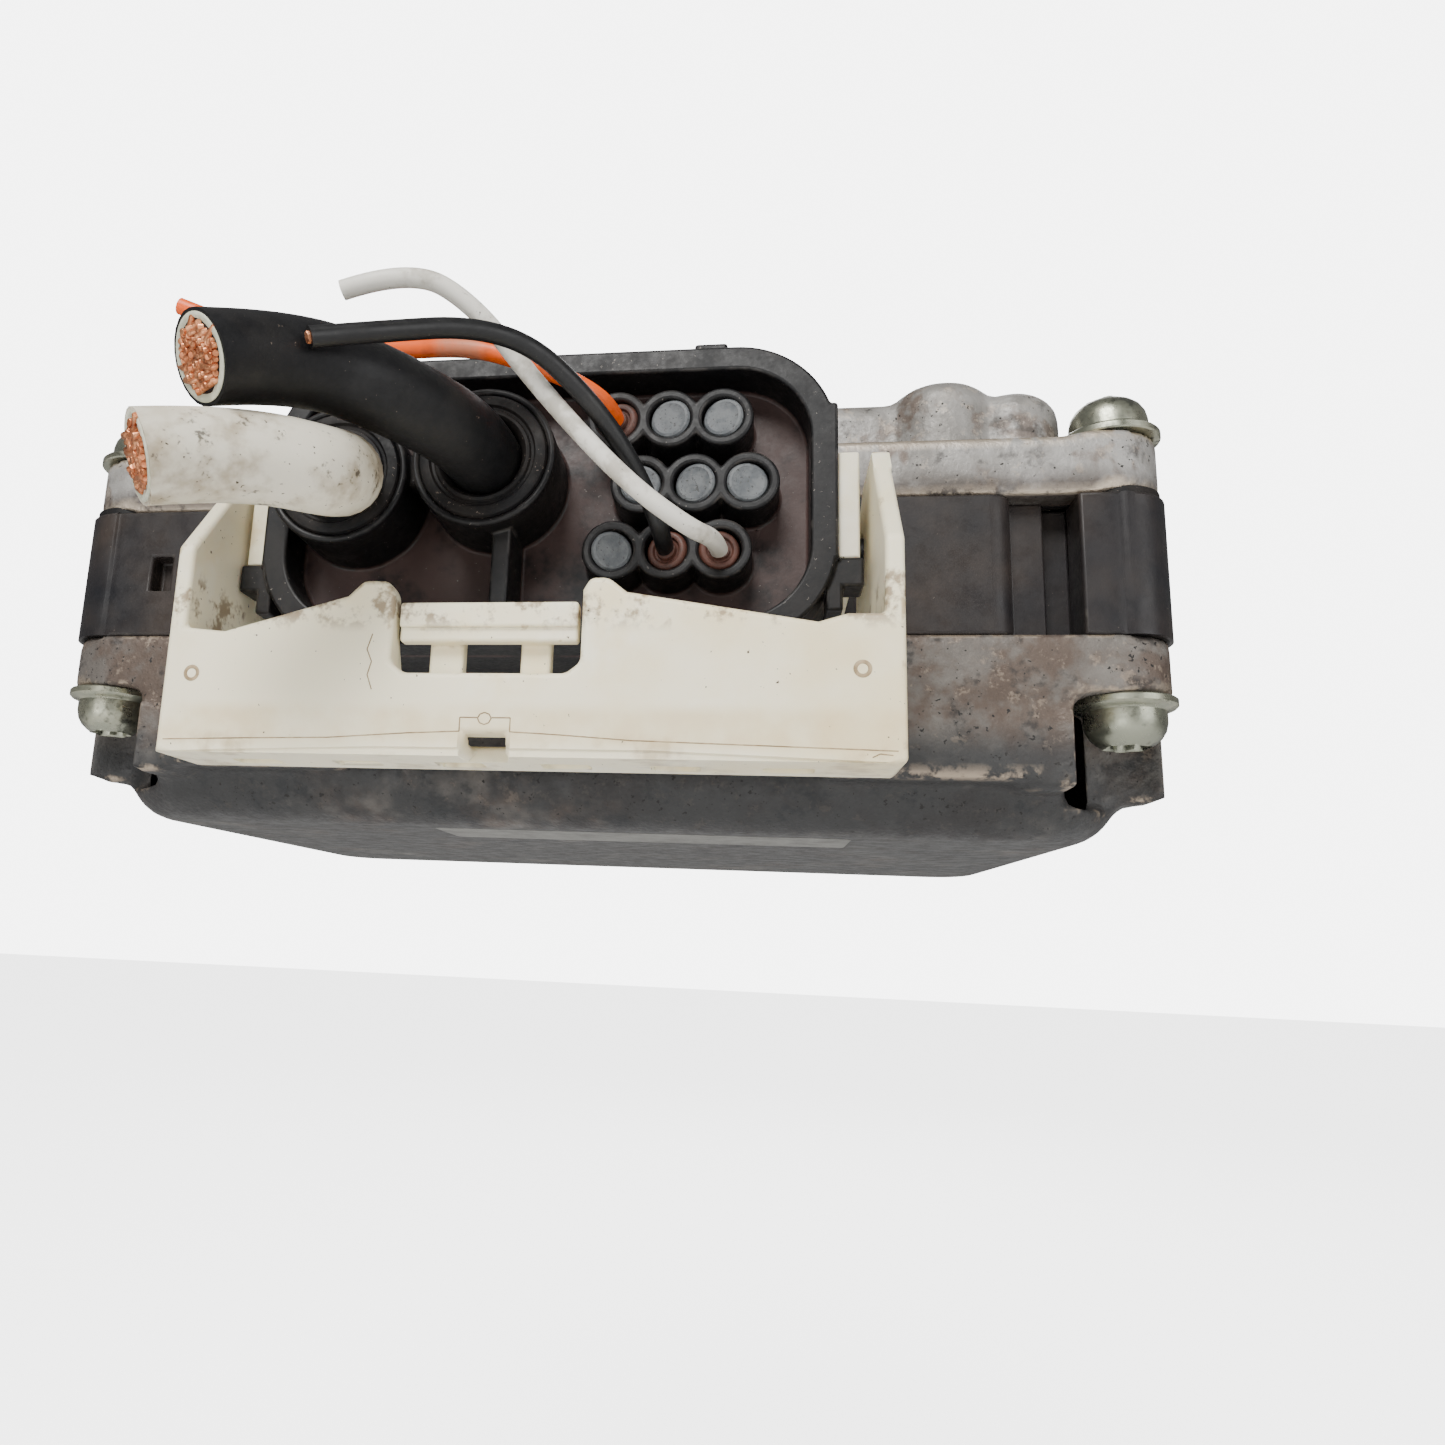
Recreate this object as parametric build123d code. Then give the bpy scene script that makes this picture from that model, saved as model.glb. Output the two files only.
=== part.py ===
from build123d import *
import os
from math import cos, pi, radians, sin, tan

os.makedirs("parts", exist_ok=True)

# Frame: mm, +Z up, origin on the base face under the middle of the body, connector towards -Y.

# ---- driving dimensions -------------------------------------------------------------------
BODY_W = 131.0          # body width, X
BODY_D = 94.0           # body depth, Y
BODY_R = 7.0            # body corner radius in plan
DISH_W = 125.0          # lower dish width
DISH_D = 83.0           # lower dish depth
DISH_R = 12.0           # lower dish corner radius
DISH_EDGE_R = 6.5       # lower dish bottom edge radius
LOW_FLANGE_Z = 15.0     # underside of the lower flange
FRAME_Z = 21.3          # bottom of the moulded frame
FRAME_H = 16.2          # height of the moulded frame
COVER_FLANGE_T = 7.1    # thickness of the cover's flange
PLATEAU_H = 8.8         # cover's plateau above its flange
WALL = 2.6              # casting wall
LUG_SIZE = 17.0         # corner lug, side of the square
LUG_Z = 4.5             # underside of the corner lugs
SCREW_INSET = 5.2       # screw axis in from the body's sides
SCREW_D = 5.0           # M5 fixing screws
SCREW_HEAD_D = 8.4
SCREW_FLANGE_D = 10.6
MOTOR_X = -26.0         # motor axis
GEAR_M = 1.0            # gear module
PINION_Z = 12           # motor pinion teeth
WHEEL_Z = 36            # idler wheel teeth
IDLER_Z = 14            # idler pinion teeth
OUTPUT_Z = 40           # output wheel teeth
GEAR_FACE = 5.0         # face width
SHAFT_D = 5.0           # motor shaft
STATOR_D = 62.0
ROTOR_D = 36.0
AIR_GAP = 0.6           # rotor to stator
OUT_BORE_D = 10.0       # output bore
PLUG_X = -0.3           # connector centre
PLUG_REAR_Y = -69.0     # rear rim of the connector
HOOD_W = 55.8           # connector hood width
HOOD_Z0 = 14.0
HOOD_Z1 = 43.7
HOOD_R = 9.5
HOOD_WALL = 2.4
PITCH = 5.05            # terminal pitch
ROW_PITCH = 6.65        # terminal row pitch
CLUSTER = (14.4, 29.8)  # centre of the signal terminals, X and Z
TOWER_D = 5.9           # signal tower
SEAL_D = 4.0            # signal seal and cavity plug
POWER_TOWER_D = 14.0
RETAINER_D = 12.6
LEAD_D = 7.2            # power lead over its insulation
CORE_D = 5.6            # power lead's copper
WIRE_D = 1.7            # signal wire
LEVER_W = 64.8          # locking lever over its arms
LEVER_Y = -77.0         # rear face of the lever's bail
ARM_T = 1.6             # lever arm thickness
PIVOT_Y = -58.0         # lever pivot
PIVOT_Z = 26.0
PIVOT_D = 4.0
WALL_END = 14.5         # front of the plug's wall, from its rear rim
HEADER_L = 6.0          # header shroud, out from the frame
PIN_TIP_Y = -56.5       # tips of the header's pins
LEAD_START_Y = -57.8    # power leads' ends at their terminals

# ---- fits and clearances --------------------------------------------------------------------
RUNNING = 0.05          # radial running clearance of a shaft in its hole
GAP = 0.4               # clearance between parts that slide past each other
MESH_GAP = 0.15         # backlash taken off each flank

# ---- levels that follow ---------------------------------------------------------------------
FRAME_TOP = FRAME_Z + FRAME_H
COVER_FLANGE_TOP = FRAME_TOP + COVER_FLANGE_T
PLATEAU_Z = COVER_FLANGE_TOP + PLATEAU_H
HX = BODY_W / 2 - SCREW_INSET
HY = BODY_D / 2 - SCREW_INSET
IDLER_X = MOTOR_X + GEAR_M * (PINION_Z + WHEEL_Z) / 2
OUT_X = IDLER_X + GEAR_M * (IDLER_Z + OUTPUT_Z) / 2
STAGE2_Z = FRAME_TOP + 1.3
STAGE1_Z = STAGE2_Z + GEAR_FACE + 0.9
FLOOR_T = 3.0
FLOOR_Z = FRAME_TOP - FLOOR_T
CORNERS = [(sx * HX, sy * HY) for sx in (-1, 1) for sy in (-1, 1)]
POWER_POS = [(-5.5, 31.6), (-19.9, 30.2)]


# ---- helpers --------------------------------------------------------------------------------
def slab(w, d, z0, z1, r=0.0, x=0.0, y=0.0):
    """Upright block w by d, corners rounded in plan, between two heights."""
    outline = RectangleRounded(w, d, r) if r > 0 else Rectangle(w, d)
    return Pos(x, y, z0) * extrude(outline, z1 - z0)


def span(x0, x1, y0, y1, z0, z1):
    """Box between six planes."""
    return Pos((x0 + x1) / 2, (y0 + y1) / 2, (z0 + z1) / 2) * Box(x1 - x0, y1 - y0, z1 - z0)


def post(d, z0, z1, x=0.0, y=0.0):
    """Upright cylinder."""
    return Pos(x, y, (z0 + z1) / 2) * Cylinder(d / 2, z1 - z0)


def pipe(do, di, z0, z1, x=0.0, y=0.0):
    """Upright tube."""
    return post(do, z0, z1, x, y) - post(di, z0 - 1, z1 + 1, x, y)


def rod_y(d, y0, y1, x, z):
    """Cylinder along Y."""
    return Pos(x, (y0 + y1) / 2, z) * (Rot(90, 0, 0) * Cylinder(d / 2, y1 - y0))


def rod_x(d, x0, x1, y, z):
    """Cylinder along X."""
    return Pos((x0 + x1) / 2, y, z) * (Rot(0, 90, 0) * Cylinder(d / 2, x1 - x0))


def plate_y(w, h, y0, y1, r, x, z):
    """Plate facing Y, rounded corners."""
    profile = Plane(origin=(x, y1, z), x_dir=(1, 0, 0), z_dir=(0, -1, 0))
    return extrude(profile * RectangleRounded(w, h, r), y1 - y0, dir=(0, -1, 0))


def wing(points, x0, x1):
    """Side profile given as (y, z) points, extruded from x0 to x1."""
    profile = Plane(origin=(x0, 0, 0), x_dir=(0, 1, 0), z_dir=(1, 0, 0))
    return extrude(profile * Polygon(*points, align=None), x1 - x0, dir=(1, 0, 0))


def level_edges(part, z):
    """Edges lying at one height."""
    return part.edges().filter_by(lambda e: abs(e.bounding_box().min.Z - z) < 1e-4
                                  and abs(e.bounding_box().max.Z - z) < 1e-4)


def gear(teeth, z0, z1, x, bore, phase=0.0, gap=MESH_GAP):
    """Spur wheel with flat-sided teeth, one tooth centred on +X turned by the phase."""
    rp = GEAR_M * teeth / 2
    ra = rp + 0.9 * GEAR_M
    rf = rp - 1.15 * GEAR_M
    half_p = pi / teeth / 2 - gap / rp
    half_a = half_p * 0.42
    half_f = half_p * 1.55
    pts = []
    for i in range(teeth):
        mid = 2 * pi * i / teeth + phase
        for r, a in ((rf, -half_f), (rp, -half_p), (ra, -half_a),
                     (ra, half_a), (rp, half_p), (rf, half_f)):
            pts.append((r * cos(mid + a), r * sin(mid + a)))
    body = extrude(Polygon(*pts, align=None), z1 - z0)
    return Pos(x, 0, z0) * (body - post(bore, -1, z1 - z0 + 1))


def solids(parts):
    """Separate solids kept side by side in one node."""
    return Compound(children=[s for p in parts for s in p.solids()])


def save(name, part):
    """Write one node."""
    export_step(part, f"parts/{name}.step")


def route_radii(points):
    """Bend radius at each inner point of a route."""
    vectors = [Vector(*b) - Vector(*a) for a, b in zip(points, points[1:])]
    radii = []
    for a, b in zip(vectors, vectors[1:]):
        turn = radians(a.get_angle(b))
        radii.append(0.45 * min(a.length, b.length) / tan(turn / 2))
    return radii


def cable(name, points, diameter, bore=0.0):
    """Round cable along straight runs joined by tangent arcs."""
    radii = route_radii(points)
    path = FilletPolyline(*points, radius=radii)
    start = Plane(origin=path @ 0, z_dir=path % 0)
    body = sweep(start * Circle(diameter / 2), path=path)
    area = pi * diameter ** 2 / 4
    if bore:
        body -= sweep(start * Circle(bore / 2), path=path)
        area -= pi * bore ** 2 / 4
    share = body.volume / (area * path.length)
    listed = ", ".join(f"{r:.1f}" for r in radii)
    print(f"{name}: length {path.length:.1f} mm, radii {listed}, volume share {share:.4f}")
    return body


# ---- lower housing ---------------------------------------------------------------------------
def lower_housing():
    """Die-cast dish with the motor seat, flange and corner lugs."""
    dish = slab(DISH_W, DISH_D, 0, LOW_FLANGE_Z + 1, DISH_R)
    dish = fillet(level_edges(dish, 0), DISH_EDGE_R)
    flange = slab(BODY_W, BODY_D, LOW_FLANGE_Z, FRAME_Z, BODY_R)
    lugs = []
    for x, y in CORNERS:
        sx = 1 if x > 0 else -1
        sy = 1 if y > 0 else -1
        cx = sx * (BODY_W / 2 - LUG_SIZE / 2)
        cy = sy * (BODY_D / 2 - LUG_SIZE / 2)
        lug = slab(LUG_SIZE, LUG_SIZE, LUG_Z, LOW_FLANGE_Z + 1, BODY_R - 0.5, cx, cy)
        lugs.append(lug)
    body = dish + flange
    for lug in lugs:
        body += lug
    for sx in (-1, 1):
        body += slab(24.4, 8, LUG_Z + 0.9, LOW_FLANGE_Z + 1, 2.0, sx * 40.0, -BODY_D / 2 + 4.5)
    body -= slab(DISH_W - 2 * WALL, DISH_D - 2 * WALL, WALL, LOW_FLANGE_Z - 0.1, DISH_R - WALL)
    body -= slab(DISH_W - 2 * WALL, BODY_D - 11, LOW_FLANGE_Z - 0.1, FRAME_Z + 1, 12)
    for x, y in CORNERS:
        body += slab(11.6, 11.6, LOW_FLANGE_Z, FRAME_Z, 5.0, x * 0.983, y * 0.977)
        relief = SCREW_FLANGE_D + 2.4
        body -= post(relief, LUG_Z - 1, LOW_FLANGE_Z, x, y)
        out = 20 if y > 0 else -20
        body -= span(x - relief / 2, x + relief / 2, min(y, y + out), max(y, y + out), LUG_Z - 1, LOW_FLANGE_Z)
        body -= post(SCREW_D + 2 * GAP, LOW_FLANGE_Z - 1, FRAME_Z + 1, x, y)
    seat = pipe(STATOR_D + 2 * WALL, STATOR_D, WALL - 0.1, 12.0, MOTOR_X)
    body += seat
    body += pipe(15.0, 11.0, WALL - 0.1, 6.0, MOTOR_X)
    return body - label_plate()


def lower_bearing():
    """Ball bearing seen as inner ring, outer ring and shield."""
    return pipe(11.0, SHAFT_D + 2 * RUNNING, WALL, WALL + 3.8, MOTOR_X)


def stator_core():
    """Laminated ring with twelve teeth."""
    core = pipe(STATOR_D, 54.0, 6.5, 15.5, MOTOR_X)
    inner = ROTOR_D + 2 * AIR_GAP
    for i in range(12):
        tooth = Pos(MOTOR_X, 0, 11.0) * (Rot(0, 0, i * 30) * (Pos(23.5, 0, 0) * Box(8.5, 3.4, 9.0)))
        shoe = pipe(inner + 3.0, inner, 6.5, 15.5, MOTOR_X)
        wedge = Pos(MOTOR_X, 0, 11.0) * (Rot(0, 0, i * 30) * (Pos(19.8, 0, 0) * Box(4.4, 8.2, 9.0)))
        core += tooth
        core += shoe & wedge
    return core


def stator_windings():
    """Twelve coils round the stator's teeth."""
    coils = []
    for i in range(12):
        outer = Pos(23.4, 0, 0) * Box(6.6, 6.4, 12.6)
        hole = Pos(23.4, 0, 0) * Box(7.6, 3.4, 9.0)
        coil = fillet(outer.edges().filter_by(Axis.X), 1.4) - hole
        coils.append(Pos(MOTOR_X, 0, 11.0) * (Rot(0, 0, i * 30) * coil))
    return solids(coils)


# ---- moulded frame ---------------------------------------------------------------------------
def mid_frame():
    """Moulded frame with its floor, upper bearing seat and connector header."""
    ring = slab(BODY_W, BODY_D, FRAME_Z, FRAME_TOP, BODY_R)
    ring -= span(48.4, 55.2, -60, -BODY_D / 2 + 3.2, FRAME_Z - 1, FRAME_TOP + 1)
    ring -= span(52.2, 55.2, -60, -BODY_D / 2 + 5.4, FRAME_Z - 1, FRAME_TOP + 1)
    corner = [e for e in ring.edges().filter_by(Axis.Z)
              if 47 < e.center().X < 50 and e.center().Y < -BODY_D / 2 + 0.5]
    ring = fillet(corner, 2.6)
    for x, y in CORNERS:
        ring += post(2 * SCREW_INSET, FRAME_Z, FRAME_TOP, x, y)
    ring -= span(-54.2, -51.6, -BODY_D / 2 - 1, -BODY_D / 2 + 2.4, 27.0, 31.5)
    pocket = slab(BODY_W - 2 * 6.5, BODY_D - 2 * 6.5, FRAME_Z - 1, FLOOR_Z, 10)
    pocket -= solids([slab(16, 16, FRAME_Z - 2, FLOOR_Z + 1, 4, x, y) for x, y in CORNERS])
    ring -= pocket
    ring -= post(20, FLOOR_Z - 1, FRAME_TOP + 1, MOTOR_X)
    ring += pipe(24, 11.0, FLOOR_Z - 2.0, FRAME_TOP, MOTOR_X)
    ring -= post(OUT_BORE_D + 6, FRAME_TOP - 1.5, FRAME_TOP + 1, OUT_X)
    for x, y in CORNERS:
        ring -= post(3.9, FRAME_Z - 1, FRAME_TOP + 1, x, y)
    header_y = -BODY_D / 2
    shroud = plate_y(HOOD_W - 2 * HOOD_WALL - 2 * GAP, HOOD_Z1 - HOOD_Z0 - 2 * HOOD_WALL - 2 * GAP,
                     header_y - HEADER_L, header_y + 1.0, HOOD_R - HOOD_WALL, PLUG_X, (HOOD_Z0 + HOOD_Z1) / 2)
    hollow = plate_y(HOOD_W - 2 * HOOD_WALL - 2 * GAP - 5.0, HOOD_Z1 - HOOD_Z0 - 2 * HOOD_WALL - 6.5,
                     header_y - 11.0, header_y + 3.0, 3.5, PLUG_X, (HOOD_Z0 + HOOD_Z1) / 2)
    shroud -= span(-40, 40, header_y, header_y + 5, FRAME_TOP, 60)
    shroud -= span(-40, 40, header_y, header_y + 5, 0, FRAME_Z)
    ring += shroud
    ring -= hollow & span(-40, 40, -80, header_y + 3.0, 0, 60)
    for x, z in signal_positions():
        ring -= span(x - 0.4, x + 0.4, header_y, header_y + 12, z - 0.4, z + 0.4)
    for x, z in POWER_POS:
        ring -= span(x - 2.5, x + 2.5, header_y, header_y + 12, z - 0.5, z + 0.5)
    for sx in (-1, 1):
        for sy in (-1, 1):
            ring += post(6.0, 29.8, FLOOR_Z + 0.5, sx * 46, sy * 28)
            ring -= post(2.2, 29.0, FLOOR_Z - 0.4, sx * 46, sy * 28)
    return ring


def signal_positions():
    """Centres of the nine signal cavities, row by row from the top."""
    cells = []
    for row, shift in ((1, -2.5), (0, 0.0), (-1, -2.5)):
        for col in (-1, 0, 1):
            cells.append((CLUSTER[0] + shift + col * PITCH, CLUSTER[1] + row * ROW_PITCH))
    return cells


def header_signal_pins():
    """Nine square pins bent down to the board."""
    pins = []
    for x, z in signal_positions():
        pin = span(x - 0.4, x + 0.4, PIN_TIP_Y, -38.0, z - 0.4, z + 0.4)
        pins.append(pin)
    return solids(pins)


def header_power_pins():
    """Two flat blades."""
    return solids([span(x - 2.5, x + 2.5, PIN_TIP_Y, -38.0, z - 0.5, z + 0.5) for x, z in POWER_POS])


def circuit_board():
    """Board under the frame's floor with its shaft opening."""
    board = slab(106, 68, 28.2, 29.8, 4, 0, 0)
    board -= post(30, 20, 40, MOTOR_X)
    for sx in (-1, 1):
        for sy in (-1, 1):
            board -= post(2.6, 20, 40, sx * 46, sy * 28)
    return board


def board_screws():
    """Four self-tapping screws."""
    parts = []
    for sx in (-1, 1):
        for sy in (-1, 1):
            parts.append(post(5.0, 26.6, 28.2, sx * 46, sy * 28) + post(2.2, 28.0, 33.0, sx * 46, sy * 28))
    return solids(parts)


def capacitors():
    """Three round capacitors lying in a row beside the motor."""
    parts = []
    for i in range(3):
        can = post(10.0, 17.0, 28.2, 16 + 12 * i, 22)
        parts.append(fillet(level_edges(can, 17.0), 0.8))
    return solids(parts)


def power_transistors():
    """Six flat power transistors."""
    parts = []
    for i in range(6):
        x = 16 + 6.5 * i
        parts.append(span(x - 2.6, x + 2.6, -9.0, -2.0, 25.9, 28.2))
    return solids(parts)


def processor():
    """Controller chip and a driver chip."""
    return solids([span(20, 32, -24, -12, 26.6, 28.2), span(38, 45, -22, -15, 26.8, 28.2)])


def choke():
    """Filter choke."""
    return pipe(13.0, 5.0, 21.6, 28.2, 34, 8)


def bus_bars():
    """Copper bars from the blades to the board."""
    parts = []
    for x, z in POWER_POS:
        bar = span(x - 2.5, x + 2.5, -38.0, -36.8, 24.0, z + 0.5)
        foot = span(x - 2.5, x + 2.5, -36.8, -31.0, 26.8, 28.2)
        parts.append(bar + foot)
    return solids(parts)


def gasket(z0):
    """Flat seal lying in the joint, with an eye round each screw."""
    seal = slab(BODY_W - 8.6, BODY_D - 8.6, z0, z0 + 0.8, BODY_R)
    seal -= slab(BODY_W - 11.0, BODY_D - 11.0, z0 - 1, z0 + 2, BODY_R)
    for x, y in CORNERS:
        seal -= post(6.6, z0 - 1, z0 + 2, x, y)
        seal += pipe(9.6, 6.6, z0, z0 + 0.8, x, y)
    return seal


# ---- cover --------------------------------------------------------------------------------------
def upper_housing():
    """Die-cast gear cover with plateau, bosses and output opening."""
    flange = slab(BODY_W, BODY_D, FRAME_TOP, COVER_FLANGE_TOP, BODY_R)
    flange = fillet([e for e in level_edges(flange, COVER_FLANGE_TOP)], 0.8)
    plateau = slab(BODY_W - 26, BODY_D - 14, COVER_FLANGE_TOP - 1, PLATEAU_Z, 14, -3, 0)
    plateau = fillet(level_edges(plateau, PLATEAU_Z), 3.0)
    body = flange + plateau
    for x, y, d, rise in ((42.6, -36.5, 13.0, 1.5), (50.6, -37.0, 11.0, 0.0), (-44.0, 34.0, 13.0, 1.5)):
        lump = post(d, COVER_FLANGE_TOP - 1, PLATEAU_Z + rise, x, y)
        body += fillet(level_edges(lump, PLATEAU_Z + rise), 3.6)
    body += post(34.0, PLATEAU_Z - 1, PLATEAU_Z + 4.0, OUT_X)
    body += post(18.0, PLATEAU_Z - 4, PLATEAU_Z + 2.0, MOTOR_X)
    for i in range(4):
        a = radians(45 + 90 * i)
        body += post(9.0, PLATEAU_Z - 1, PLATEAU_Z + 4.0, OUT_X + 19.0 * cos(a), 19.0 * sin(a))
    cavity = slab(BODY_W - 32, BODY_D - 32, FRAME_TOP - 1, PLATEAU_Z - WALL, 12, -1.5, 0)
    body -= cavity
    body -= post(22.0, FRAME_TOP - 1, PLATEAU_Z + 1.2, OUT_X)
    body -= post(17.4, FRAME_TOP - 1, PLATEAU_Z + 9, OUT_X)
    for i in range(4):
        a = radians(45 + 90 * i)
        body -= post(4.2, PLATEAU_Z - 1.6, PLATEAU_Z + 9, OUT_X + 19.0 * cos(a), 19.0 * sin(a))
    for x, y in CORNERS:
        body += post(12.6, COVER_FLANGE_TOP - 1, COVER_FLANGE_TOP + 0.5, x, y) & slab(
            BODY_W, BODY_D, 0, 90, BODY_R)
        body -= post(SCREW_D + 2 * GAP, FRAME_TOP - 1, COVER_FLANGE_TOP + 2, x, y)
    body += pipe(10.0, 4.0, PLATEAU_Z - WALL - 0.4, PLATEAU_Z - WALL + 0.5, IDLER_X)
    return body


def screws(up):
    """Four flanged pan-head screws, heads up on the cover or down under the lugs."""
    parts = []
    for x, y in CORNERS:
        seat = COVER_FLANGE_TOP + 0.5 if up else LOW_FLANGE_Z
        s = 1 if up else -1
        washer = post(SCREW_FLANGE_D, min(seat, seat + s), max(seat, seat + s), x, y)
        head = post(SCREW_HEAD_D, min(seat + s * 0.5, seat + s * 5.2), max(seat + s * 0.5, seat + s * 5.2), x, y)
        head = fillet(level_edges(head, seat + s * 5.2), 1.6)
        tip = FRAME_TOP - 7.0 if up else FRAME_Z + 7.0
        shank = post(SCREW_D, min(seat, FRAME_TOP if up else FRAME_Z), max(seat, FRAME_TOP if up else FRAME_Z), x, y)
        thread = post(3.9, min(tip, FRAME_TOP if up else FRAME_Z) , max(tip, FRAME_TOP if up else FRAME_Z), x, y)
        recess = extrude(Pos(x, y, seat + s * 5.3) * RegularPolygon(2.1, 6), -s * 2.4)
        parts.append(washer + head + shank + thread - recess)
    return solids(parts)


# ---- motor and gears ------------------------------------------------------------------------------
def motor_shaft():
    """Shaft from the lower bearing to the pinion."""
    return post(SHAFT_D, WALL + 0.4, STAGE1_Z + GEAR_FACE, MOTOR_X)


def rotor_core():
    """Laminated rotor."""
    return pipe(ROTOR_D - 5.0, SHAFT_D, 7.2, 15.4, MOTOR_X)


def rotor_magnets():
    """Ten magnets round the rotor."""
    ring = pipe(ROTOR_D, ROTOR_D - 5.0, 7.4, 15.2, MOTOR_X)
    parts = []
    for i in range(10):
        cell = Pos(MOTOR_X, 0, 11.1) * (Rot(0, 0, i * 36) * (Pos(16, 0, 0) * Box(10, 8.8, 9)))
        parts.append(ring & cell)
    return solids(parts)


def upper_bearing():
    """Upper motor bearing in the frame's floor."""
    return pipe(11.0, SHAFT_D + 2 * RUNNING, FLOOR_Z - 1.5, FLOOR_Z + 2.5, MOTOR_X)


def motor_pinion():
    """Pinion on the motor shaft."""
    return gear(PINION_Z, STAGE1_Z, STAGE1_Z + GEAR_FACE, MOTOR_X, SHAFT_D)


def idler_gear():
    """Compound wheel: large wheel above, small pinion below."""
    phase = pi / WHEEL_Z
    wheel = gear(WHEEL_Z, STAGE1_Z, STAGE1_Z + GEAR_FACE, IDLER_X, 4.0 + 2 * RUNNING, phase)
    small = gear(IDLER_Z, STAGE2_Z, STAGE1_Z + 0.3, IDLER_X, 4.0 + 2 * RUNNING)
    return wheel + small


def idler_pin():
    """Fixed pin the compound wheel turns on."""
    return post(4.0, FRAME_TOP, PLATEAU_Z - WALL, IDLER_X)


def output_gear():
    """Output wheel."""
    phase = pi / OUTPUT_Z
    wheel = gear(OUTPUT_Z, STAGE2_Z, STAGE2_Z + GEAR_FACE, OUT_X, 16.0, phase)
    for i in range(6):
        a = radians(60 * i + 30)
        wheel -= post(5.0, STAGE2_Z - 1, STAGE2_Z + GEAR_FACE + 1, OUT_X + 12.8 * cos(a), 12.8 * sin(a))
    return wheel


def output_hub():
    """Hub with the output bore, standing out of the cover."""
    hub = post(16.0, STAGE2_Z, STAGE2_Z + GEAR_FACE, OUT_X)
    hub += post(12.0, FRAME_TOP - 1.0, PLATEAU_Z + 7.0, OUT_X)
    hub += post(14.0, STAGE2_Z, STAGE2_Z + GEAR_FACE + 1.4, OUT_X)
    hub -= post(OUT_BORE_D, FRAME_TOP + 2.0, PLATEAU_Z + 8.0, OUT_X)
    return hub


def output_bearing():
    """Plain bush in the cover round the hub."""
    bush = pipe(17.4, 12.0 + 2 * RUNNING, PLATEAU_Z - WALL, PLATEAU_Z + 1.2, OUT_X)
    return bush


def output_seal():
    """Shaft seal above the bush."""
    return pipe(17.4, 12.0 + 2 * RUNNING, PLATEAU_Z + 1.2, PLATEAU_Z + 3.8, OUT_X)


def breather():
    """Breather plug in the cover's plateau."""
    plug = post(9.0, PLATEAU_Z, PLATEAU_Z + 1.6, -44.0, -18.0)
    return fillet(level_edges(plug, PLATEAU_Z + 1.6), 0.5)


def label_plate():
    """Blank rating strip on the base."""
    return slab(52, 12, 0.0, 0.25, 1.0, 6, -26)


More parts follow.
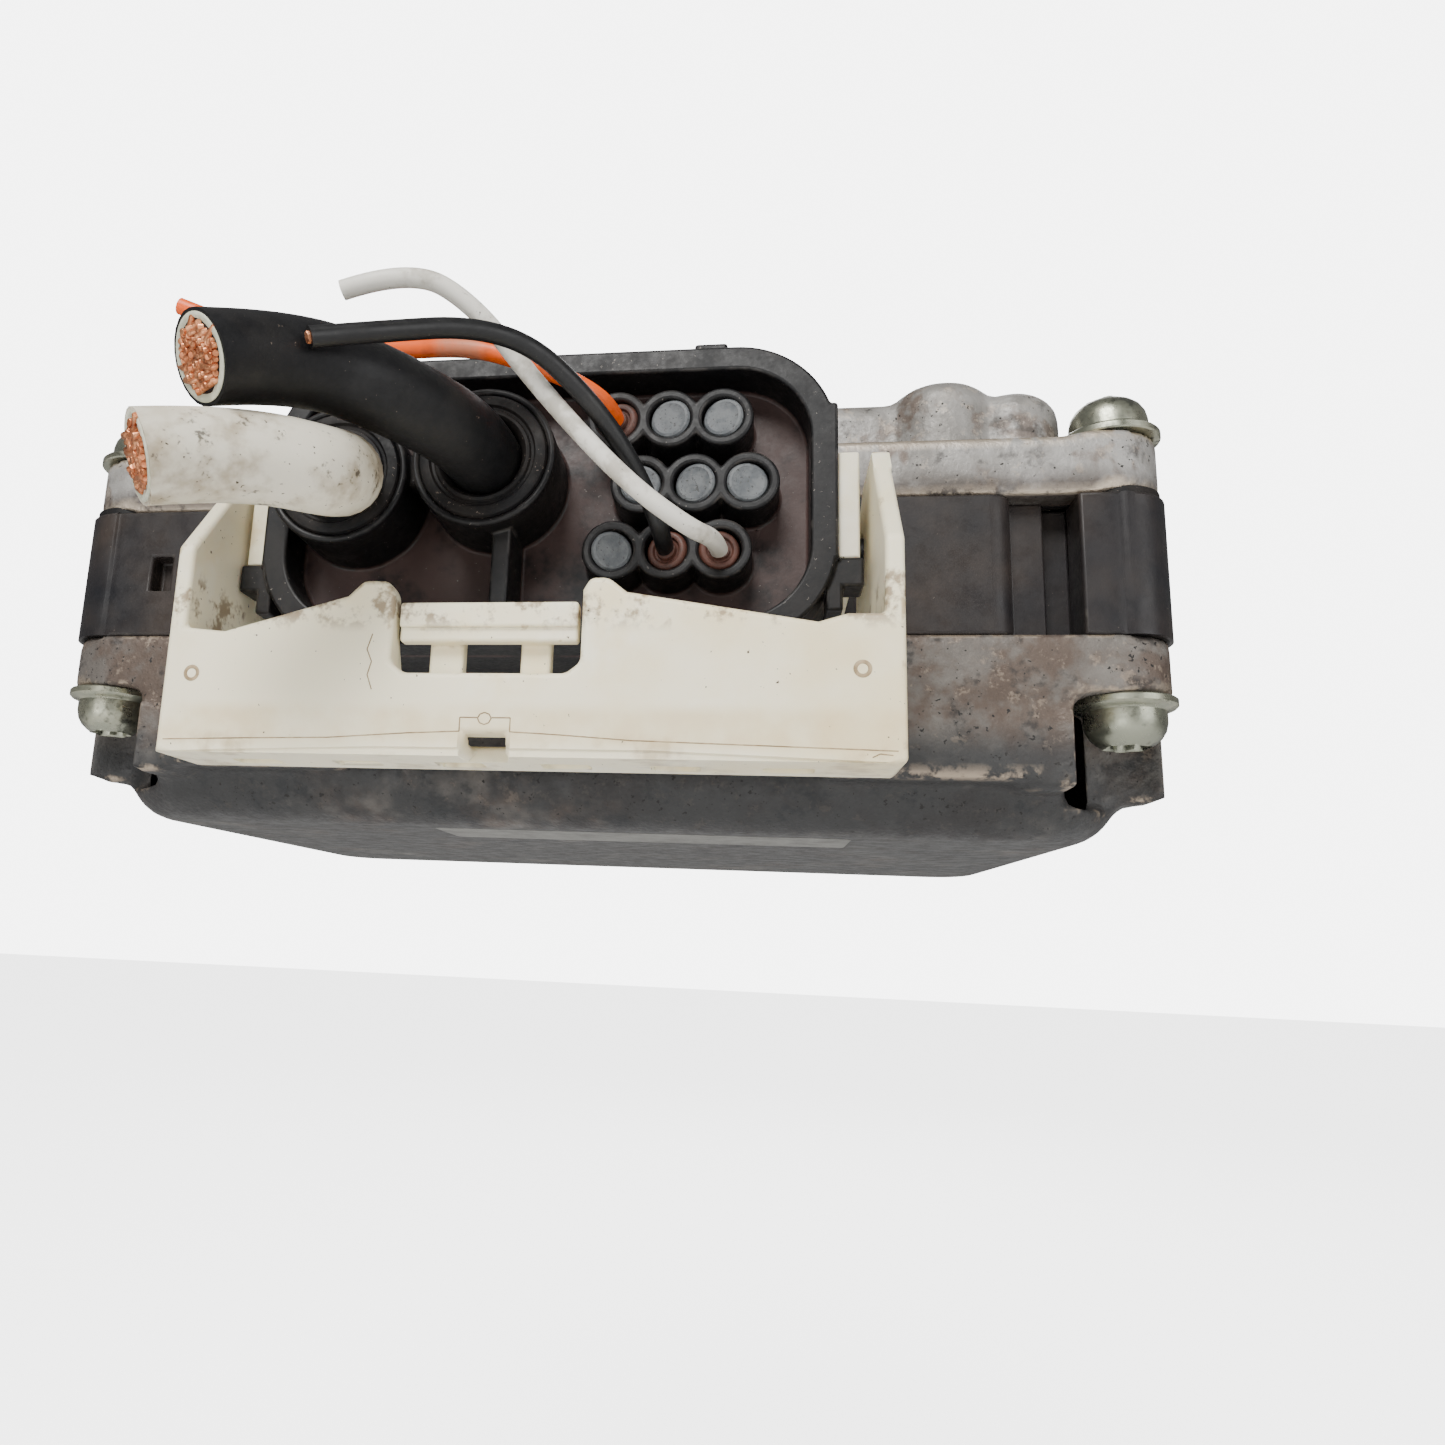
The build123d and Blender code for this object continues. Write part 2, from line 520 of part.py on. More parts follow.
# ---- connector -------------------------------------------------------------------------------------
def connector_housing():
    """Hood, wall with terminal towers, side wings and pivot pins."""
    mid_z = (HOOD_Z0 + HOOD_Z1) / 2
    height = HOOD_Z1 - HOOD_Z0
    hood = plate_y(HOOD_W, height, PLUG_REAR_Y, -48.0, HOOD_R, PLUG_X, mid_z)
    hood -= plate_y(HOOD_W - 2 * HOOD_WALL, height - 2 * HOOD_WALL, PLUG_REAR_Y - 1, PLUG_REAR_Y + 4.7,
                    HOOD_R - HOOD_WALL, PLUG_X, mid_z)
    hood -= plate_y(HOOD_W - 2 * HOOD_WALL, height - 2 * HOOD_WALL, PLUG_REAR_Y + WALL_END, -47.0,
                    HOOD_R - HOOD_WALL, PLUG_X, mid_z)
    hood += span(PLUG_X + 26.0, PLUG_X + HOOD_W / 2 + 0.1, PLUG_REAR_Y, PLUG_REAR_Y + 14, 22.0, 37.5)
    hood += span(PLUG_X - HOOD_W / 2 - 0.1, PLUG_X - 26.0, PLUG_REAR_Y, PLUG_REAR_Y + 14, 22.0, 37.5)
    hood += span(14.1, 17.3, PLUG_REAR_Y + 1.0, PLUG_REAR_Y + 12, HOOD_Z1 - 1, HOOD_Z1 + 1.0)
    for x, z in signal_positions():
        hood += rod_y(TOWER_D, PLUG_REAR_Y, PLUG_REAR_Y + 5.5, x, z)
    for x, z in POWER_POS:
        hood += rod_y(POWER_TOWER_D, PLUG_REAR_Y - 3.0, PLUG_REAR_Y + 5.5, x, z)
    (xa, za), (xb, zb) = POWER_POS
    hood += span(xb, xa, PLUG_REAR_Y - 1.5, PLUG_REAR_Y + 5.5, za - 2.0, za + 1.0)
    hood += span(xa + 0.9, xa + 2.7, PLUG_REAR_Y - 1.0, PLUG_REAR_Y + 5.5, HOOD_Z0 + 2, za)
    for x, z in signal_positions():
        hood -= rod_y(SEAL_D, PLUG_REAR_Y - 1, PLUG_REAR_Y + 4.0, x, z)
        hood -= span(x - 0.9, x + 0.9, PLUG_REAR_Y + 3.5, PLUG_REAR_Y + 16, z - 0.9, z + 0.9)
    for x, z in POWER_POS:
        hood -= rod_y(RETAINER_D, PLUG_REAR_Y - 4, PLUG_REAR_Y - 0.5, x, z)
        hood -= rod_y(11.0, PLUG_REAR_Y - 1, PLUG_REAR_Y + 4.0, x, z)
        hood -= rod_y(LEAD_D + 1.0, PLUG_REAR_Y - 1, LEAD_START_Y + 0.5, x, z)
        hood -= span(x - 3.0, x + 3.0, LEAD_START_Y - 0.5, PLUG_REAR_Y + 16, z - 1.0, z + 1.0)
    for side in (-1, 1):
        x0 = PLUG_X + side * (HOOD_W / 2 - 1.0)
        x1 = PLUG_X + side * 30.3
        xs = sorted((x0, x1))
        xm = PLUG_X + side * 28.4
        xt = sorted((x0, xm))
        hood += span(xs[0], xs[1], PLUG_REAR_Y + 0.5, PLUG_REAR_Y + 4.0, 19.5, 22.3)
        hood += span(xt[0], xt[1], PLUG_REAR_Y + 0.5, PLUG_REAR_Y + 4.0, 17.2, 22.3)
        tip = sorted((x0, PLUG_X + side * (LEVER_W / 2)))
        hood += rod_x(PIVOT_D, tip[0], tip[1], PIVOT_Y, PIVOT_Z)
    return hood


def cam_slides():
    """Pair of white slides between the hood's sides and the lever's arms."""
    parts = []
    for side in (-1, 1):
        xs = sorted((PLUG_X + side * (HOOD_W / 2 + 0.1), PLUG_X + side * 30.0))
        slide = span(xs[0], xs[1], PLUG_REAR_Y + 1.0, -50.0, 22.4, 32.9)
        slide -= rod_x(PIVOT_D, xs[0] - 1, xs[1] + 1, PIVOT_Y, PIVOT_Z)
        parts.append(slide)
    return solids(parts)


def signal_seals():
    """Rubber wire seals of the three wired cavities."""
    cells = signal_positions()
    return solids([rod_y(SEAL_D, PLUG_REAR_Y + 0.5, PLUG_REAR_Y + 3.5, *cells[i]) for i in (0, 7, 8)])


def cavity_plugs():
    """Plugs closing the six empty cavities."""
    cells = signal_positions()
    parts = []
    for i in (1, 2, 3, 4, 5, 6):
        plug = rod_y(SEAL_D, PLUG_REAR_Y + 0.2, PLUG_REAR_Y + 3.5, *cells[i])
        parts.append(plug)
    return solids(parts)


def power_retainers():
    """Rings holding the power seals."""
    parts = []
    for x, z in POWER_POS:
        ring = rod_y(RETAINER_D, PLUG_REAR_Y - 3.2, PLUG_REAR_Y - 0.5, x, z)
        ring -= rod_y(LEAD_D + 0.6, PLUG_REAR_Y - 5, PLUG_REAR_Y + 1, x, z)
        parts.append(ring)
    return solids(parts)


def power_seals():
    """Seals on the power leads."""
    parts = []
    for x, z in POWER_POS:
        seal = rod_y(11.0, PLUG_REAR_Y - 0.5, PLUG_REAR_Y + 4.0, x, z)
        seal -= rod_y(LEAD_D, PLUG_REAR_Y - 2, PLUG_REAR_Y + 5, x, z)
        parts.append(seal)
    return solids(parts)


def signal_terminals():
    """Sockets on the three signal wires."""
    cells = signal_positions()
    parts = []
    for i in (0, 7, 8):
        x, z = cells[i]
        socket = span(x - 0.85, x + 0.85, PLUG_REAR_Y + 3.5, PLUG_REAR_Y + WALL_END - 0.3, z - 0.85, z + 0.85)
        socket -= span(x - 0.65, x + 0.65, PIN_TIP_Y - 0.5, PLUG_REAR_Y + 16, z - 0.65, z + 0.65)
        parts.append(socket)
    return solids(parts)


def power_terminals():
    """Sockets on the two power leads."""
    parts = []
    for x, z in POWER_POS:
        jaw = span(x - 2.98, x + 2.98, LEAD_START_Y + 0.2, PLUG_REAR_Y + WALL_END - 0.3, z - 0.98, z + 0.98)
        jaw -= span(x - 2.8, x + 2.8, PIN_TIP_Y - 0.5, PLUG_REAR_Y + 16, z - 0.8, z + 0.8)
        parts.append(jaw)
    return solids(parts)


# ---- lever ------------------------------------------------------------------------------------------
def locking_lever():
    """U-shaped lever: bail with two posts and a cut-out, and two arms."""
    half = LEVER_W / 2
    top = [(-half, 1.9), (-half, 13.5), (-27.0, 13.0), (-15.6, 16.2), (-14.2, 17.6), (-12.0, 17.6),
           (-11.2, 16.6), (-11.2, 10.2), (-10.0, 9.2), (4.4, 9.2), (5.6, 10.2), (5.6, 16.6),
           (6.2, 17.7), (7.8, 17.7), (9.4, 16.4), (25.4, 13.7), (27.8, 14.4), (half, 14.4), (half, 1.9),
           (12.0, 2.6), (-12.0, 2.6)]
    profile = Plane(origin=(0, LEVER_Y, 0), x_dir=(1, 0, 0), z_dir=(0, -1, 0))
    bail = extrude(profile * Polygon(*top, align=None), 2.2, dir=(0, 1, 0))
    bail += span(-half, half, LEVER_Y + 0.2, LEVER_Y + 8.0, 1.9, 3.4)
    bail -= span(-4.1, -0.5, LEVER_Y - 2, LEVER_Y + 3.5, 1.0, 3.9)
    for i in range(6):
        x = -27.0 + 9.6 * i
        bail -= span(x, x + 4.4, LEVER_Y + 3.8, LEVER_Y + 6.4, 1.0, 2.3)
    arm = [(LEVER_Y, 1.9), (LEVER_Y, 21.0), (LEVER_Y + 7.4, 30.4), (LEVER_Y + 9.4, 33.1),
           (LEVER_Y + 17.0, 33.1), (PIVOT_Y + 6.0, 29.0), (PIVOT_Y + 6.0, 21.5), (LEVER_Y + 12.5, 13.0),
           (LEVER_Y + 8.0, 6.0), (LEVER_Y + 8.0, 1.9)]
    body = bail
    body += wing(arm, -half, -half + ARM_T)
    body += wing(arm, half - ARM_T, half)
    for side in (-1, 1):
        xs = sorted((side * (half - ARM_T), side * (half - ARM_T - 2.0)))
        body += span(xs[0], xs[1], LEVER_Y, LEVER_Y + 3.0, 2.0, 12.4)
        hole = sorted((side * (half - ARM_T - 1), side * (half + 1)))
        body -= rod_x(PIVOT_D + 2 * RUNNING, hole[0], hole[1], PIVOT_Y, PIVOT_Z)
    for x0, x1 in ((-10.2, -9.0), (-4.7, -3.5), (-1.2, -0.6), (3.1, 4.3)):
        body += span(x0, x1, LEVER_Y + 2.0, LEVER_Y + 4.4, 4.5, 9.0)
    return body


def lever_lock():
    """Sliding lock behind the bail: bar and two legs."""
    lock = span(-10.8, 5.2, LEVER_Y + 0.6, LEVER_Y + 2.4, 13.4, 15.7)
    lock += span(-10.8, 5.2, LEVER_Y + 1.0, LEVER_Y + 2.4, 12.2, 13.6)
    for x0, x1 in ((-8.4, -5.3), (-0.1, 2.6)):
        lock += span(x0, x1, LEVER_Y + 2.5, LEVER_Y + 4.0, 4.8, 15.0)
        lock += span(x0, x1, LEVER_Y + 2.0, LEVER_Y + 4.0, 12.2, 15.0)
    return lock


# ---- leads -------------------------------------------------------------------------------------------
BLACK_LEAD = [(-5.4, LEAD_START_Y, 31.3), (-5.5, -65.4, 31.6), (-5.5, -75.6, 31.6), (-10.4, -82.9, 32.2),
              (-16.9, -88.4, 32.9), (-21.5, -94.9, 29.1)]
WHITE_LEAD = [(-19.8, LEAD_START_Y, 29.9), (-19.9, -65.4, 30.2), (-19.9, -73.0, 30.2), (-12.7, -85.7, 23.4),
              (-19.7, -91.4, 23.1), (-24.9, -95.8, 20.7)]
WHITE_WIRE = [(16.95, -65.5, 23.15), (16.95, -70.9, 23.15), (14.5, -75.5, 22.5), (8.9, -77.9, 26.1),
              (1.4, -78.8, 34.3), (-4.2, -82.1, 40.9), (-9.4, -84.4, 43.2), (-15.4, -84.5, 41.3)]
BLACK_WIRE = [(11.9, -65.5, 23.15), (11.9, -70.6, 23.15), (10.7, -72.5, 26.5), (8.2, -76.4, 30.5),
              (5.2, -79.3, 33.7), (1.2, -82.4, 36.6), (-3.4, -85.7, 36.5), (-8.9, -89.2, 34.2),
              (-14.0, -92.6, 31.8)]
ORANGE_WIRE = [(6.85, -65.5, 36.45), (6.85, -70.8, 36.45), (4.2, -74.0, 37.4), (-0.6, -75.6, 38.9),
               (-6.0, -76.0, 40.6), (-14.5, -73.6, 42.0), (-25.6, -71.8, 44.5), (-33.5, -72.2, 46.8),
               (-38.0, -73.0, 48.5)]


def build():
    """Make every node."""
    save("lower_housing", lower_housing())
    save("label_plate", label_plate())
    save("lower_bearing", lower_bearing())
    save("stator_core", stator_core())
    save("stator_windings", stator_windings())
    save("lower_gasket", gasket(FRAME_Z))
    frame = mid_frame() - gasket(FRAME_Z)
    save("mid_frame", frame)
    save("header_signal_pins", header_signal_pins())
    save("header_power_pins", header_power_pins())
    save("circuit_board", circuit_board())
    save("board_screws", board_screws())
    save("capacitors", capacitors())
    save("power_transistors", power_transistors())
    save("processor", processor())
    save("choke", choke())
    save("bus_bars", bus_bars())
    save("upper_bearing", upper_bearing())
    save("upper_gasket", gasket(FRAME_TOP))
    save("upper_housing", upper_housing() - gasket(FRAME_TOP))
    save("idler_pin", idler_pin())
    save("output_bearing", output_bearing())
    save("output_seal", output_seal())
    save("breather", breather())
    save("lower_screws", screws(False))
    save("upper_screws", screws(True))
    save("motor_shaft", motor_shaft())
    save("rotor_core", rotor_core())
    save("rotor_magnets", rotor_magnets())
    save("motor_pinion", motor_pinion())
    save("idler_gear", idler_gear())
    save("output_gear", output_gear())
    save("output_hub", output_hub())
    save("connector_housing", connector_housing())
    save("cam_slides", cam_slides())
    save("signal_seals", signal_seals() - wires_solid())
    save("cavity_plugs", cavity_plugs())
    save("power_retainers", power_retainers())
    save("power_seals", power_seals())
    save("signal_terminals", signal_terminals())
    save("power_terminals", power_terminals())
    save("black_lead", cable("black_lead", BLACK_LEAD, LEAD_D, CORE_D))
    save("black_lead_core", cable("black_lead_core", BLACK_LEAD, CORE_D))
    save("white_lead", cable("white_lead", WHITE_LEAD, LEAD_D, CORE_D))
    save("white_lead_core", cable("white_lead_core", WHITE_LEAD, CORE_D))
    save("white_wire", cable("white_wire", WHITE_WIRE, WIRE_D))
    save("black_wire", cable("black_wire", BLACK_WIRE, WIRE_D))
    save("orange_wire", cable("orange_wire", ORANGE_WIRE, WIRE_D))
    save("locking_lever", locking_lever())
    save("lever_lock", lever_lock())


def wires_solid():
    """Straight stubs of the signal wires inside their seals."""
    cells = signal_positions()
    return solids([rod_y(WIRE_D, PLUG_REAR_Y - 2, PLUG_REAR_Y + 5, *cells[i]) for i in (0, 7, 8)])


build()
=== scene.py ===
"""Looks for the motorised actuator head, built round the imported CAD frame.

Every length is in metres in the row frame, unless a name ends in _mm.
"""

import logging
import math
from dataclasses import dataclass
from enum import Enum

import bmesh
import bpy
from mathutils import Euler, Matrix, Vector
from mathutils.bvhtree import BVHTree

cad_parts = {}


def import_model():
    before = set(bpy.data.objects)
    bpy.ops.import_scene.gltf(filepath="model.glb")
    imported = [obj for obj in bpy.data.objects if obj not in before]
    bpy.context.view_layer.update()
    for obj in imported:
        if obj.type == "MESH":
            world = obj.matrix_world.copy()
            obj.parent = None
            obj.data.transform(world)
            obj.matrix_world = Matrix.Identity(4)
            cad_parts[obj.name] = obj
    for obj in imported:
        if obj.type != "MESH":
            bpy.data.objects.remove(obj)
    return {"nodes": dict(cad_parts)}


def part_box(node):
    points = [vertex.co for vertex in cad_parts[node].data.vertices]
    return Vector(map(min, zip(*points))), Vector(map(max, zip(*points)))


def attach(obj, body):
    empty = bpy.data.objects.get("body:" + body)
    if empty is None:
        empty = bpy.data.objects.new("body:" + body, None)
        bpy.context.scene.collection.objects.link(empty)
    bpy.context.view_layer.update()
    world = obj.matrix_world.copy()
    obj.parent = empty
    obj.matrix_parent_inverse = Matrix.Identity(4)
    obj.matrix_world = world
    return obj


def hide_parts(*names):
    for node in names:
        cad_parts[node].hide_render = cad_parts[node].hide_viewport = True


LOG = logging.getLogger("scene")
MM = 0.001
WELD = 2e-6
FACING = (math.pi / 2, 0.0, 0.0)
HEX_ROW = 0.866
WHITE = (1.0, 1.0, 1.0)
POWER_MM = 7.2
SIGNAL_MM = 1.7
SHARP_DEGREES = 38
Colour = tuple[float, float, float]
Point = tuple[float, float, float]
Row = tuple[float, float, float]


class Body(str, Enum):
    """Moving bodies of the record."""

    BASE = "base"
    PLUG = "plug"
    LEVER = "lever"
    LOCK = "lock"


class Socket(str, Enum):
    """Socket kinds of a node group."""

    VALUE = "NodeSocketFloat"
    WHOLE = "NodeSocketInt"
    VECTOR = "NodeSocketVector"
    SHAPE = "NodeSocketGeometry"
    PIECE = "NodeSocketObject"
    FINISH = "NodeSocketMaterial"


# ---------------------------------------------------------------------------
# node helpers
# ---------------------------------------------------------------------------
class Graph:
    """A node tree with short calls for what the finishes need."""

    def __init__(self, tree: bpy.types.NodeTree) -> None:
        """Wraps a tree.

        Args:
            tree: the shader or geometry tree to fill.
        """
        self.tree = tree

    def node(self, kind: str, **settings: object) -> bpy.types.Node:
        """Adds a node.

        Args:
            kind: the node's type name.
            settings: properties set on the node.

        Returns:
            The new node.
        """
        made = self.tree.nodes.new(kind)
        for key, value in settings.items():
            setattr(made, key, value)
        return made

    def put(self, value: object, socket: bpy.types.NodeSocket) -> None:
        """Links a socket, or sets a plain value.

        Args:
            value: an output socket or a value.
            socket: the input it goes to.
        """
        if isinstance(value, bpy.types.NodeSocket):
            self.tree.links.new(value, socket)
        elif isinstance(value, tuple) and len(value) == 3 and socket.type == "RGBA":
            socket.default_value = (*value, 1.0)
        else:
            socket.default_value = value

    def noise(self, vector: object, scale: object, detail: float = 3.0, rough: float = 0.55) -> bpy.types.NodeSocket:
        """Noise value.

        Args:
            vector: coordinates.
            scale: noise scale.
            detail: octaves.
            rough: roughness of the octaves.

        Returns:
            The value socket.
        """
        made = self.node("ShaderNodeTexNoise")
        self.put(vector, made.inputs["Vector"])
        self.put(scale, made.inputs["Scale"])
        made.inputs["Detail"].default_value = detail
        made.inputs["Roughness"].default_value = rough
        return made.outputs["Fac"]

    def ramp(self, value: object, low: object, high: object, to_low: float = 0.0,
             to_high: float = 1.0) -> bpy.types.NodeSocket:
        """Smooth map of a value between two limits.

        Args:
            value: the value mapped.
            low: where the result starts to rise.
            high: where it ends.
            to_low: the result at low.
            to_high: the result at high.

        Returns:
            The mapped value.
        """
        made = self.node("ShaderNodeMapRange", interpolation_type="SMOOTHSTEP")
        limits = {"Value": value, "From Min": low, "From Max": high, "To Min": to_low, "To Max": to_high}
        for name, item in limits.items():
            self.put(item, made.inputs[name])
        return made.outputs["Result"]

    def math(self, operation: str, first: object, second: object = 0.0) -> bpy.types.NodeSocket:
        """Two-input maths.

        Args:
            operation: the Math node's operation.
            first: first input.
            second: second input.

        Returns:
            The result.
        """
        made = self.node("ShaderNodeMath", operation=operation)
        self.put(first, made.inputs[0])
        self.put(second, made.inputs[1])
        return made.outputs[0]

    def mix(self, factor: object, first: object, second: object) -> bpy.types.NodeSocket:
        """Mix of two colours.

        Args:
            factor: share of the second.
            first: first colour.
            second: second colour.

        Returns:
            The colour.
        """
        made = self.node("ShaderNodeMix", data_type="RGBA")
        self.put(factor, made.inputs[0])
        self.put(first, made.inputs[6])
        self.put(second, made.inputs[7])
        return made.outputs[2]

    def blend(self, factor: object, first: object, second: object) -> bpy.types.NodeSocket:
        """Mix of two values.

        Args:
            factor: share of the second.
            first: first value.
            second: second value.

        Returns:
            The value.
        """
        made = self.node("ShaderNodeMix", data_type="FLOAT")
        self.put(factor, made.inputs[0])
        self.put(first, made.inputs[2])
        self.put(second, made.inputs[3])
        return made.outputs[0]


class Effects:
    """The shader groups that several finishes share."""

    def __init__(self) -> None:
        """Builds each group once."""
        self.patches = self._patches()
        self.specks = self._specks()
        self.wear = self._wear()
        self.grain = self._grain()

    @staticmethod
    def _group(name: str, inputs: dict[str, float], output: str) -> tuple[Graph, bpy.types.Node, bpy.types.Node]:
        """Starts a group that reads object coordinates.

        Args:
            name: the group's name.
            inputs: value inputs and their defaults.
            output: the name of its one value output.

        Returns:
            The graph, its input node and its output node.
        """
        tree = bpy.data.node_groups.new(name, "ShaderNodeTree")
        tree.interface.new_socket("Vector", in_out="INPUT", socket_type=Socket.VECTOR.value)
        for key, value in inputs.items():
            made = tree.interface.new_socket(key, in_out="INPUT", socket_type=Socket.VALUE.value)
            made.default_value = value
        tree.interface.new_socket(output, in_out="OUTPUT", socket_type=Socket.VALUE.value)
        graph = Graph(tree)
        return graph, graph.node("NodeGroupInput"), graph.node("NodeGroupOutput")

    def _patches(self) -> bpy.types.NodeTree:
        """Uneven patches of two sizes.

        Returns:
            The group.
        """
        graph, into, out = self._group("patches", {"Scale": 60.0, "Low": 0.45, "High": 0.6}, "Mask")
        wide = graph.noise(into.outputs["Vector"], into.outputs["Scale"], 4.0)
        fine_scale = graph.math("MULTIPLY", into.outputs["Scale"], 5.3)
        fine = graph.noise(into.outputs["Vector"], fine_scale, 3.0)
        both = graph.blend(0.32, wide, fine)
        graph.put(graph.ramp(both, into.outputs["Low"], into.outputs["High"]), out.inputs["Mask"])
        return graph.tree

    def _specks(self) -> bpy.types.NodeTree:
        """Small separate specks, thicker in some places than in others.

        Returns:
            The group.
        """
        graph, into, out = self._group("specks", {"Scale": 900.0, "Amount": 0.3}, "Mask")
        fine = graph.noise(into.outputs["Vector"], into.outputs["Scale"], 2.0, 0.7)
        spread_scale = graph.math("MULTIPLY", into.outputs["Scale"], 0.09)
        spread = graph.noise(into.outputs["Vector"], spread_scale, 2.0)
        limit = graph.math("SUBTRACT", 0.86, graph.math("MULTIPLY", into.outputs["Amount"], 0.3))
        level = graph.math("SUBTRACT", limit, graph.math("MULTIPLY", spread, 0.16))
        top = graph.math("ADD", level, 0.05)
        graph.put(graph.ramp(fine, level, top), out.inputs["Mask"])
        return graph.tree

    def _wear(self) -> bpy.types.NodeTree:
        """Bare metal or rubbed plastic along the edges.

        Returns:
            The group.
        """
        graph, into, out = self._group("edge_wear", {"Scale": 250.0, "Amount": 0.6}, "Mask")
        edge = graph.node("ShaderNodeAttribute", attribute_name="edge")
        rub = graph.noise(into.outputs["Vector"], into.outputs["Scale"], 4.0, 0.6)
        low = graph.math("SUBTRACT", 0.75, graph.math("MULTIPLY", into.outputs["Amount"], 0.5))
        high = graph.math("ADD", low, 0.14)
        share = graph.ramp(rub, low, high)
        graph.put(graph.math("MULTIPLY", edge.outputs["Fac"], share), out.inputs["Mask"])
        return graph.tree

    def _grain(self) -> bpy.types.NodeTree:
        """Surface height: fine grain on a slow ripple.

        Returns:
            The group.
        """
        graph, into, out = self._group("grain", {"Scale": 2500.0, "Ripple": 0.4}, "Height")
        fine = graph.noise(into.outputs["Vector"], into.outputs["Scale"], 2.0)
        slow_scale = graph.math("MULTIPLY", into.outputs["Scale"], 0.12)
        slow = graph.noise(into.outputs["Vector"], slow_scale, 3.0)
        graph.put(graph.math("ADD", fine, graph.math("MULTIPLY", slow, into.outputs["Ripple"])), out.inputs["Height"])
        return graph.tree


# ---------------------------------------------------------------------------
# finishes
# ---------------------------------------------------------------------------
@dataclass(frozen=True)
class Layer:
    """A second colour laid over a finish by a mask."""

    colour: Colour
    scale: float = 60.0
    low: float = 0.45
    high: float = 0.6
    strength: float = 1.0


@dataclass(frozen=True)
class Band:
    """A layer that only lies between two heights on one axis."""

    layer: Layer
    axis: int
    start: float
    end: float
    fade: float = 0.3


@dataclass(frozen=True)
class Finish:
    """One procedural material, from its base colour up to its wear."""

    name: str
    slot: str
    base: Colour
    layers: tuple[Layer, ...] = ()
    bands: tuple[Band, ...] = ()
    speck: Colour = (0.3, 0.28, 0.25)
    speck_scale: float = 1500.0
    speck_amount: float = 0.0
    worn: Colour = (0.6, 0.58, 0.54)
    worn_amount: float = 0.0
    worn_scale: float = 260.0
    worn_metal: float = 0.0
    metal: float = 0.0
    rough: tuple[float, float] = (0.45, 0.6)
    rough_scale: float = 420.0
    worn_rough: float = 0.35
    grain_scale: float = 2500.0
    grain_depth: float = 0.00002
    ripple: float = 0.4
    soft: float = 0.0
    soft_radius: Colour = (0.0012, 0.0008, 0.0005)
    coat: float = 0.0
    shine: float = 0.4

    def build(self, effects: Effects) -> bpy.types.Material:
        """Makes the material.

        Args:
            effects: the shared groups.

        Returns:
            The material.
        """
        material = bpy.data.materials.new(self.name)
        material.use_nodes = True
        graph = Graph(material.node_tree)
        shader = material.node_tree.nodes["Principled BSDF"]
        place = graph.node("ShaderNodeTexCoord").outputs["Object"]
        shader.inputs["Metallic"].default_value = self.metal
        colour: object = self.base
        for layer in self.layers:
            colour = self._cover(graph, effects, place, colour, layer, None)
        for band in self.bands:
            split = graph.node("ShaderNodeSeparateXYZ")
            graph.put(place, split.inputs[0])
            span = band.end - band.start
            fade = band.fade * span
            inside = graph.ramp(split.outputs[band.axis], band.start, band.start + fade)
            outside = graph.ramp(split.outputs[band.axis], band.end - fade, band.end, 1.0, 0.0)
            colour = self._cover(graph, effects, place, colour, band.layer, graph.math("MULTIPLY", inside, outside))
        if self.speck_amount:
            group = self._use(graph, effects.specks, place, Scale=self.speck_scale, Amount=self.speck_amount)
            colour = graph.mix(group.outputs["Mask"], colour, self.speck)
        uneven = self._use(graph, effects.patches, place, Scale=self.rough_scale, Low=0.35, High=0.65)
        rough: object = graph.blend(uneven.outputs["Mask"], self.rough[0], self.rough[1])
        if self.worn_amount:
            group = self._use(graph, effects.wear, place, Scale=self.worn_scale, Amount=self.worn_amount)
            mask = group.outputs["Mask"]
            colour = graph.mix(mask, colour, self.worn)
            rough = graph.blend(mask, rough, self.worn_rough)
            if self.worn_metal != self.metal:
                graph.put(graph.blend(mask, self.metal, self.worn_metal), shader.inputs["Metallic"])
        graph.put(colour, shader.inputs["Base Color"])
        graph.put(rough, shader.inputs["Roughness"])
        height = self._use(graph, effects.grain, place, Scale=self.grain_scale, Ripple=self.ripple)
        bump = graph.node("ShaderNodeBump")
        bump.inputs["Strength"].default_value = 1.0
        bump.inputs["Distance"].default_value = self.grain_depth
        graph.put(height.outputs["Height"], bump.inputs["Height"])
        graph.put(bump.outputs["Normal"], shader.inputs["Normal"])
        shader.inputs["Coat Weight"].default_value = self.coat
        shader.inputs["Specular IOR Level"].default_value = self.shine
        if self.soft:
            shader.inputs["Subsurface Weight"].default_value = self.soft
            shader.inputs["Subsurface Radius"].default_value = self.soft_radius
            shader.inputs["Subsurface Scale"].default_value = 1.0
        return material

    @staticmethod
    def _use(graph: Graph, tree: bpy.types.NodeTree, place: object, **values: float) -> bpy.types.Node:
        """Places a shared group.

        Args:
            graph: the material's graph.
            tree: the group.
            place: coordinates.
            values: input values.

        Returns:
            The group node.
        """
        made = graph.node("ShaderNodeGroup", node_tree=tree)
        graph.put(place, made.inputs["Vector"])
        for key, value in values.items():
            made.inputs[key].default_value = value
        return made

    def _cover(self, graph: Graph, effects: Effects, place: object, under: object, layer: Layer,
               mask: object) -> bpy.types.NodeSocket:
        """Lays one layer over a colour.

        Args:
            graph: the material's graph.
            effects: the shared groups.
            place: coordinates.
            under: the colour below.
            layer: what is laid on it.
            mask: a further mask, or None.

        Returns:
            The colour.
        """
        group = self._use(graph, effects.patches, place, Scale=layer.scale, Low=layer.low, High=layer.high)
        factor = graph.math("MULTIPLY", group.outputs["Mask"], layer.strength)
        if mask is not None:
            factor = graph.math("MULTIPLY", factor, mask)
        return graph.mix(factor, under, layer.colour)


